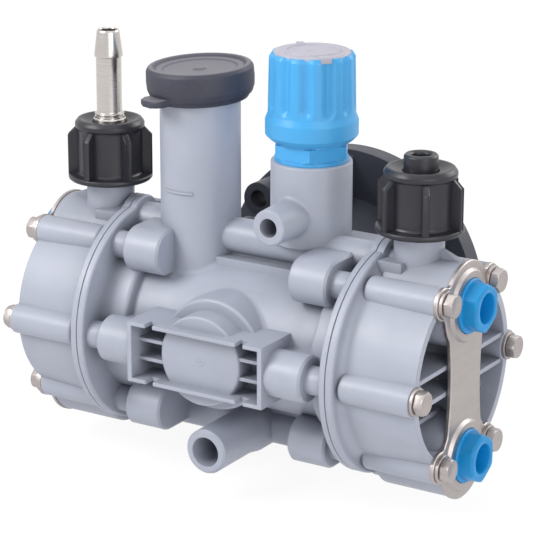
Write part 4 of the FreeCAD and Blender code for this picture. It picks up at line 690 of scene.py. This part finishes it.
# From a mesh that stands on Z to its place in the pump
AT_CRANK = Matrix.Translation((0, CRANK_Y, 0))
ALONG_X = Matrix(((0, 0, 1, 0), (1, 0, 0, 0), (0, 1, 0, 0), (0, 0, 0, 1)))     # Z to X, X to Y, Y to Z
AT_HEAD = {side: AT_CRANK @ Matrix.Diagonal((out, 1, 1, 1)) @ ALONG_X for side, out in OUT.items()}
AT_NECK = {side: Matrix.Translation((out * NECK_X, CRANK_Y, 0)) for side, out in OUT.items()}
AT_REGULATOR = Matrix.Translation((*REGULATOR, 0))


def about_z(degrees):
    return Matrix.Rotation(math.radians(degrees), 4, "Z")


def heights(node):
    """Lowest and highest point of a CAD node, in millimetres."""
    return [corner[2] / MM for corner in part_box(node)]


def placed(obj, matrix):
    """Puts the place into the mesh, so that the object stays at the origin."""
    obj.data.transform(matrix)
    if matrix.to_3x3().determinant() < 0:
        obj.data.flip_normals()
    return obj


def standing(obj, finish, body, stands_for):
    """The finished piece takes its material, rides on its body and hides its CAD nodes."""
    obj.data.materials.clear()
    obj.data.materials.append(FINISH[finish])
    obj.data.shade_smooth()
    obj.data.set_sharp_from_angle(angle=PIECE_CREASE)
    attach(obj, body)
    if stands_for:
        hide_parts(*stands_for)


# Pieces, with sizes in millimetres

def knob():
    """Sky blue knob: soft skirt, cone and twelve round-ended flutes."""
    low, high = heights("regulator_knob")
    bore = 12.1
    bore_end = low + 13.2
    skirt = 20.6
    skirt_top = low + 9.0
    cone = 19.4
    narrowing = 0.5
    cone_foot = skirt_top + 3.0
    cone_top = high - 1.8
    recess = 17.1
    recess_floor = high - 2.1
    profile = [(0, bore_end), (bore, bore_end), (bore, low), (18.2, low), (skirt, low + 2.4),
               (skirt, skirt_top), (cone, cone_foot)]
    rows = 26
    for i in range(1, rows + 1):
        profile.append((cone - narrowing * i / rows, cone_foot + (cone_top - cone_foot) * i / rows))
    profile += [(17.9, high), (recess, high), (recess, recess_floor), (0, recess_floor)]
    obj = spun_piece("knob_body", profile, rounding=1.1, around=288)
    FLUTES.applied(obj, "blue_knob", Count=12, Radius=cone * MM, Phase=math.radians(23), Depth=1.9 * MM,
                   Width=7.4 * MM, Lower_end=(cone_foot + 0.2) * MM)
    placed(obj, AT_REGULATOR)
    standing(obj, "blue_knob", "knob", ["regulator_knob"])


def knob_disc():
    """Pale disc with a raised ring, a centre dimple and a pointer that reaches over the knob's rim."""
    low, high = heights("knob_insert")
    face = high - 0.5
    rim = 17.0
    profile = [(0, low), (rim, low), (rim, face - 0.5), (16.5, face), (12.5, face), (12.3, high),
               (11.2, high), (11.0, face), (2.4, face), (1.4, face - 0.5), (0, face - 0.6)]
    disc = spun("knob_disc", profile, rounding=0.25, around=128)
    pointer = slab("pointer", bar(13.2, 18.75, 2.4), face - 2.2, high, 0.3)
    tail = slab("pointer_tail", bar(-17.6, -13.2, 1.5), face - 1.0, high, 0.25)
    obj = piece("knob_disc", joined("knob_disc", disc, pointer, tail))
    placed(obj, AT_REGULATOR @ about_z(-40))
    standing(obj, "pale_disc", "knob", ["knob_insert"])


def wing_mesh(low, high, inner, outer, thickness):
    """One wing of a union nut: a plate with a sloped top and soft edges."""
    root = inner - 1.5              # inside the nut's wall
    slope_foot = high - (outer - inner) - 0.4
    outline = [(root, low), (outer, low), (outer, slope_foot), (inner - 0.2, high), (root, high)]

    def build(form):
        near, far = ([form.verts.new((x * MM, y * MM, z * MM)) for x, z in outline]
                     for y in (-thickness / 2, thickness / 2))
        form.faces.new(near)
        form.faces.new(list(reversed(far)))
        for i in range(len(outline)):
            j = (i + 1) % len(outline)
            form.faces.new((near[i], near[j], far[j], far[i]))
        form.normal_update()
        soften_edges(form, list(form.edges), 0.45)
    return mesh_of("wing", build)


def union_nut(side):
    """Winged union nut: plain body, foot ring, rounded top band that dips to its hole, and six wings."""
    node = side + "_union_nut"
    low, high = heights(node)
    bore = 10.5
    foot = 19.4
    body = 15.0
    band = 16.0
    hole = 7.8
    profile = [(bore, low), (18.6, low), (foot, low + 0.9), (foot, low + 2.6), (15.6, low + 3.0),
               (body, low + 4.0), (body, high - 5.4), (15.2, high - 4.6), (band, high - 3.8),
               (band, high - 1.9), (14.6, high), (13.2, high), (9.6, high - 1.3), (hole, high - 1.5),
               (hole, high - 2.9), (bore, high - 2.9)]
    turned_nut = spun_piece(side + "_nut_body", profile, rounding=1.0)
    wing = wing_mesh(low + 1.2, high - 3.8, inner=body, outer=18.9, thickness=3.0)
    first_wing = {"left": -89.0, "right": -114.0}[side]
    wings = RING.applied(piece(side + "_nut_wings", wing), "black_nut", Count=6, Radius=0.0,
                         Phase=math.radians(first_wing), Step=0.0, Drop=0.0)
    standing(placed(turned_nut, AT_NECK[side]), "black_nut", node, [node])
    standing(placed(wings, AT_NECK[side]), "black_nut", node, [])


def hose_barb():
    """Turned steel hose barb: flange, grooved collar, straight shank and a cone with a sharp step."""
    low, high = heights("hose_barb")
    bore = 4.0
    flange = 10.2
    flange_top = low + 3.2
    neck = 7.5
    collar = 6.85
    collar_top = high - 38.4
    groove = 6.1
    shank = 5.8
    step = high - 12.5
    profile = [(bore, low), (flange, low), (flange, flange_top), (neck, flange_top), (neck, collar_top - 2.8),
               (collar, collar_top - 2.4), (collar, collar_top - 1.6), (groove, collar_top - 1.4),
               (groove, collar_top - 0.9), (collar, collar_top - 0.7), (collar, collar_top - 0.2),
               (5.9, collar_top + 0.1), (shank, collar_top + 0.6), (shank, step), (6.5, step + 0.3),
               (6.45, step + 1.4), (5.15, high - 0.7), (4.8, high), (4.3, high), (bore, high - 0.4)]
    obj = placed(spun_piece("hose_barb_body", profile, rounding=0.2), AT_NECK["left"])
    standing(obj, "turned_steel", "housing", ["hose_barb"])


def hose_tail():
    """Short black tail whose open end shows in the right nut."""
    low, high = heights("hose_tail")
    bore = 4.15
    flange = 10.2
    flange_top = low + 3.2
    wall = 7.5
    profile = [(bore, low), (flange, low), (flange, flange_top), (wall, flange_top), (wall, high - 0.9),
               (6.7, high), (5.2, high), (4.3, high - 0.8), (bore, high - 1.6)]
    obj = placed(spun_piece("hose_tail_body", profile, rounding=0.7, around=96), AT_NECK["right"])
    standing(obj, "black_nut", "housing", ["hose_tail"])


def pull_tab(low, high):
    """A tongue with rounded outer corners that starts inside the cap's wall."""
    start = 19.9
    reach = 29.5
    half_width = 7.0
    corner = 4.0
    steps = 6
    outline = [(start, half_width)]
    for centre_y, first in ((half_width - corner, 90), (corner - half_width, 0)):
        for i in range(steps + 1):
            angle = math.radians(first - 90 * i / steps)
            outline.append((reach - corner + corner * math.cos(angle), centre_y + corner * math.sin(angle)))
    outline.append((start, -half_width))
    mesh = slab("pull_tab", outline, low, high, 0.9)
    mesh.transform(about_z(-112))
    return mesh


def filler_cap():
    """Soft cap: rolled rim round a dished top, a wall that draws in at its foot, and a pull tab."""
    tube_top = 114.8
    top = tube_top + 4.0
    foot = top - 13.5
    bore = 19.5
    profile = [(0, tube_top), (bore, tube_top), (bore, foot - 2), (21.2, foot - 2), (21.7, foot - 0.3),
               (23.0, foot + 0.4), (24.1, foot + 3.4), (24.3, foot + 7.0), (24.1, top - 1.8),
               (23.0, top - 0.1), (21.4, top), (20.4, top - 0.7), (19.6, top - 1.4), (17.2, top - 1.5),
               (16.2, top - 2.1), (9.0, top - 2.6), (3.4, top - 2.5), (1.9, top - 1.7), (0, top - 1.6)]
    cap = spun("cap_body", profile, rounding=1.4, around=128)
    obj = piece("cap_body", joined("cap_body", cap, pull_tab(foot - 1.2, foot + 1.8)))
    # The cap sits a little crooked, lifted on one side of the tube's mouth
    mouth = 18.2
    lift = 0.3 * MM
    hinge = Vector((-0.56, 0.83, 0))
    low_side = Vector((-mouth * hinge.y, mouth * hinge.x, tube_top)) * MM
    tilt = (Matrix.Translation(low_side) @ Matrix.Rotation(math.radians(-3.0), 4, hinge)
            @ Matrix.Translation(-low_side))
    placed(obj, Matrix.Translation((FILLER_X, CRANK_Y, lift)) @ tilt)
    standing(obj, "black_rubber", "filler_cap", ["filler_cap"])


def valve_plug_mesh(name, height):
    """Plug with a sealed nose, a round base and a soft six-sided grip with a blind round hole."""
    nose = 97.0                     # along the head's axis from the crank
    seat = nose + 3.6
    flange_end = 105.1
    base_end = 108.2
    end = 114.8
    grip_flats = 20.6
    grip_corner = 11.4
    body = circle_rows([(11.2, nose), (11.2, seat), (13.2, seat), (13.2, flange_end), (12.1, flange_end),
                        (12.1, base_end - 0.6), (11.6, base_end)])
    grip = []
    for z, inset in ((base_end, 0), (end - 1.5, 0), (end - 0.9, 0.12), (end - 0.4, 0.45), (end - 0.1, 0.95),
                     (end, 1.5)):
        grip.append(six_sided(grip_flats, grip_corner, z, inset))
    hole = circle_rows([(7.3, end), (6.9, end - 0.2), (6.7, end - 0.7), (6.6, end - 7.6), (6.2, end - 8.0)])
    mesh = lofted(name, body + grip + hole)
    mesh.transform(Matrix.Translation((0, height, 0)))
    return mesh


def valve_plugs(side):
    upper = valve_plug_mesh("upper", DELIVERY_Z)
    lower = valve_plug_mesh("lower", SUCTION_Z)
    obj = piece(side + "_plugs", joined(side + "_plugs", upper, lower))
    placed(obj, AT_HEAD[side])
    standing(obj, "blue_plug", "housing", [side + "_valve_plugs"])


def hex_screw_mesh():
    """Hex screw: domed head with a shallow dish, washer face and a shank with a threaded end."""
    flats = 10.0
    corner = 5.72
    head = [six_sided(9.6, 5.4, 0.0, 0.35), six_sided(flats, corner, 0.35), six_sided(flats, corner, 3.3),
            six_sided(flats, 5.45, 3.65, 0.1), *circle_rows([(4.9, 4.0), (3.6, 4.0), (3.1, 3.75)])]
    shank = 3.0
    root = 2.6
    thread_start = -44.0
    pitch = 1.0
    threads = 22
    end = -67.9
    profile = [(2.4, end)]
    for i in reversed(range(threads)):
        z = thread_start - pitch / 2 - pitch * i
        profile += [(shank, z - pitch / 2), (root, z)]
    profile += [(shank, thread_start), (shank, 0.0)]
    return joined("hex_screw", lofted("head", head), lofted("shank", circle_rows(profile, 24)))


def valve_spring(side, pocket, height):
    """Fine spring between a poppet and its cage."""
    start = 82.7                    # along the head's axis from the crank
    length = 11.0
    wire = 0.45
    node = f"{side}_{pocket}_spring"
    obj = coil(node + "_wire", turns=5.0, radius=5.2, height=length - 2 * wire, wire=wire)
    foot = Matrix.Translation((0, height, (start + wire) * MM))
    placed(obj, AT_HEAD[side] @ foot)
    standing(obj, "spring_steel", "housing", [node])
    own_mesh(obj)


def regulator_spring():
    """Strong spring between the regulator's poppet and the nut that the knob drives.

    It is made in two halves, a lower and an upper one turned half a turn.
    """
    low, high = heights("regulator_spring")
    wire = 1.2
    half = (high - low) / 2
    for name, foot, turn, joint, travel in (("lower", low + wire, 0, "regulator_lift", 1.5),
                                            ("upper", low + half, 180, "knob_turn", 1.9)):
        obj = coil("regulator_spring_" + name, turns=2.5, radius=7.0, height=half - wire, wire=wire)
        placed(obj, Matrix.Translation((*REGULATOR, foot * MM)) @ about_z(turn))
        standing(obj, "spring_steel", "housing", ["regulator_spring"])
        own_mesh(obj)


def diaphragm(side):
    """The rubber sheet in two: rim and fold stay in the housing, the clamped centre goes with the discs."""
    node = side + "_diaphragm"
    split = 26.6                    # just outside the discs, where the fold begins
    inner_end = 50                  # the cutting core runs well past the sheet on both sides
    outer_end = 80
    sheet = mesh_of(node, lambda form: form.from_mesh(nodes[node].data))
    core_profile = [(0, inner_end), (split, inner_end), (split, outer_end), (0, outer_end)]
    core = placed(spun_piece("core", core_profile, rounding=0.0, around=AROUND), AT_HEAD[side])
    for part, operation, body in (("rim", "DIFFERENCE", "housing"), ("centre", "INTERSECT", "yoke")):
        obj = piece(f"{node}_{part}", sheet.copy())
        cut = obj.modifiers.new("split", "BOOLEAN")
        cut.object = core
        cut.operation = operation
        standing(made_plain(obj), "seal_rubber", body, [node])
    bpy.data.objects.remove(core)


def gate_mark():
    """Small scar of the mould's gate in the middle of the front boss."""
    profile = [(0, -0.4), (2.3, -0.4), (2.2, 0.12), (1.5, 0.18), (1.3, 0.02), (0.7, 0.05), (0.5, 0.3),
               (0, 0.34)]
    to_front = Matrix.Translation((0, FRONT_BOSS_Y, 0)) @ Matrix.Rotation(math.radians(90), 4, "X")
    obj = placed(spun_piece("gate_scar", profile, rounding=0.08, around=32), to_front)
    standing(obj, "grey_polymer", "housing", [])


def on_both_heads(node, build, foot, step):
    """Six copies on each head, each turned by a further step; the two at mid height lie below the plate."""
    clamp_plate = 1.8
    meshes = []
    for side in OUT:
        mesh = build()
        mesh.transform(foot)
        ring = RING.applied(piece("ring", mesh), "stainless", Count=6, Radius=SCREW_CIRCLE, Phase=0.0,
                            Step=math.radians(step), Drop=clamp_plate * MM)
        meshes.append(placed(ring, AT_HEAD[side]).data)
        bpy.data.objects.remove(ring)
    obj = piece(node + "_detailed", joined(node, *meshes))
    standing(obj, "stainless", "housing", [node])


def screws_and_washers():
    """The head screws with a washer under each, on the clamp plate or on the bare boss beside it."""
    plate_face = 105.4              # along the head's axis from the crank
    washer = 1.6
    washer_profile = [(3.2, 0), (6.25, 0), (6.25, washer), (3.2, washer)]
    screw_foot = Matrix.Translation((0, 0, (plate_face + washer) * MM)) @ about_z(20)
    washer_foot = Matrix.Translation((0, 0, plate_face * MM))
    on_both_heads("head_screws", hex_screw_mesh, screw_foot, -35)
    on_both_heads("head_washers", lambda: spun("washer", washer_profile, 0.25, 48), washer_foot, 0)


knob()
knob_disc()
for side_name in OUT:
    union_nut(side_name)
    valve_plugs(side_name)
    valve_spring(side_name, "delivery", DELIVERY_Z)
    valve_spring(side_name, "suction", SUCTION_Z)
    diaphragm(side_name)
regulator_spring()
hose_barb()
hose_tail()
filler_cap()
gate_mark()
screws_and_washers()


# Studio

LIGHT_AIM = Vector((0, CRANK_Y, 20 * MM))
FLOOR_HALF = 6.0
FLOOR_GAP = 0.5 * MM
PAPER = (0.85, 0.85, 0.86, 1)
PAPER_GLOW = 1.07
PAPER_GLOW_SHARE = 0.86
SKY = (0.95, 0.97, 1.0, 1)
SKY_STRENGTH = 0.38
WHITE = (1, 1, 1, 1)


def area_light(name, place, size, power):
    lamp = bpy.data.lights.new(name, "AREA")
    lamp.shape = "RECTANGLE"
    lamp.size, lamp.size_y = size
    lamp.energy = power
    holder = piece(name, lamp)
    holder.location = place
    holder.rotation_euler = (LIGHT_AIM - Vector(place)).to_track_quat("-Z", "Y").to_euler()


def background_rays(tree):
    """1 for the rays that see the background: camera, glossy and transmission rays."""
    path = tree.nodes.new("ShaderNodeLightPath")
    seen = path.outputs["Is Camera Ray"]
    for kind in ("Is Glossy Ray", "Is Transmission Ray"):
        either = tree.nodes.new("ShaderNodeMath")
        either.operation = "MAXIMUM"
        tree.links.new(seen, either.inputs[0])
        tree.links.new(path.outputs[kind], either.inputs[1])
        seen = either.outputs[0]
    return seen


def two_looks(tree, output, factor, lit, seen):
    """One look lights the scene, the other shows itself where the factor is 1."""
    mix = tree.nodes.new("ShaderNodeMixShader")
    tree.links.new(factor, mix.inputs["Fac"])
    tree.links.new(lit.outputs[0], mix.inputs[1])
    tree.links.new(seen.outputs[0], mix.inputs[2])
    tree.links.new(mix.outputs[0], tree.nodes.new(output).inputs["Surface"])


def studio_floor(height):
    shaded_corners = [(x, y, height) for x, y in bar(-FLOOR_HALF, FLOOR_HALF, FLOOR_HALF)]
    mesh = bpy.data.meshes.new("studio floor")
    mesh.from_pydata(shaded_corners, [], [(0, 1, 2, 3)])
    paper = bpy.data.materials.new("white studio paper")
    paper.use_nodes = True
    tree = paper.node_tree
    tree.nodes.clear()
    lit = tree.nodes.new("ShaderNodeBsdfDiffuse")
    lit.inputs["Color"].default_value = PAPER
    glow = tree.nodes.new("ShaderNodeEmission")
    glow.inputs["Strength"].default_value = PAPER_GLOW
    share = tree.nodes.new("ShaderNodeMath")
    share.operation = "MULTIPLY"
    share.inputs[1].default_value = PAPER_GLOW_SHARE
    tree.links.new(background_rays(tree), share.inputs[0])
    two_looks(tree, "ShaderNodeOutputMaterial", share.outputs[0], lit, glow)
    mesh.materials.append(paper)
    piece("studio_floor", mesh)


def studio_world():
    world = bpy.data.worlds.new("studio")
    world.use_nodes = True
    tree = world.node_tree
    tree.nodes.clear()
    lit = tree.nodes.new("ShaderNodeBackground")
    lit.inputs["Color"].default_value = SKY
    lit.inputs["Strength"].default_value = SKY_STRENGTH
    seen = tree.nodes.new("ShaderNodeBackground")
    seen.inputs["Color"].default_value = WHITE
    seen.inputs["Strength"].default_value = 1.0
    two_looks(tree, "ShaderNodeOutputWorld", background_rays(tree), lit, seen)
    bpy.context.scene.world = world


def camera():
    azimuth = math.radians(CAMERA_AZIMUTH)
    elevation = math.radians(CAMERA_ELEVATION)
    back = Vector((math.sin(azimuth) * math.cos(elevation), -math.cos(azimuth) * math.cos(elevation),
                   math.sin(elevation)))
    lens = bpy.data.cameras.new("photo camera")
    lens.sensor_width = SENSOR_MM
    lens.lens = CAMERA_FOCAL_PX / PHOTO_WIDTH_PX * SENSOR_MM
    lens.clip_end = 20
    holder = piece("photo_camera", lens)
    turn = back.to_track_quat("Z", "Y").to_matrix().to_4x4()
    roll = about_z(CAMERA_ROLL)
    holder.matrix_world = Matrix.Translation(CAMERA_TARGET + back * CAMERA_DISTANCE) @ turn @ roll
    bpy.context.scene.camera = holder


area_light("key", (-0.7, -1.0, 0.9), (0.6, 0.6), 13)
area_light("fill", (1.0, -0.7, 0.35), (0.8, 0.8), 5)
area_light("top", (0.0, -0.1, 1.1), (0.9, 0.9), 3)
area_light("rim", (0.5, 0.9, 0.7), (0.7, 0.5), 5)
studio_world()
studio_floor(cad_box[0][2] - FLOOR_GAP)
camera()
bpy.context.scene.view_settings.view_transform = "Standard"
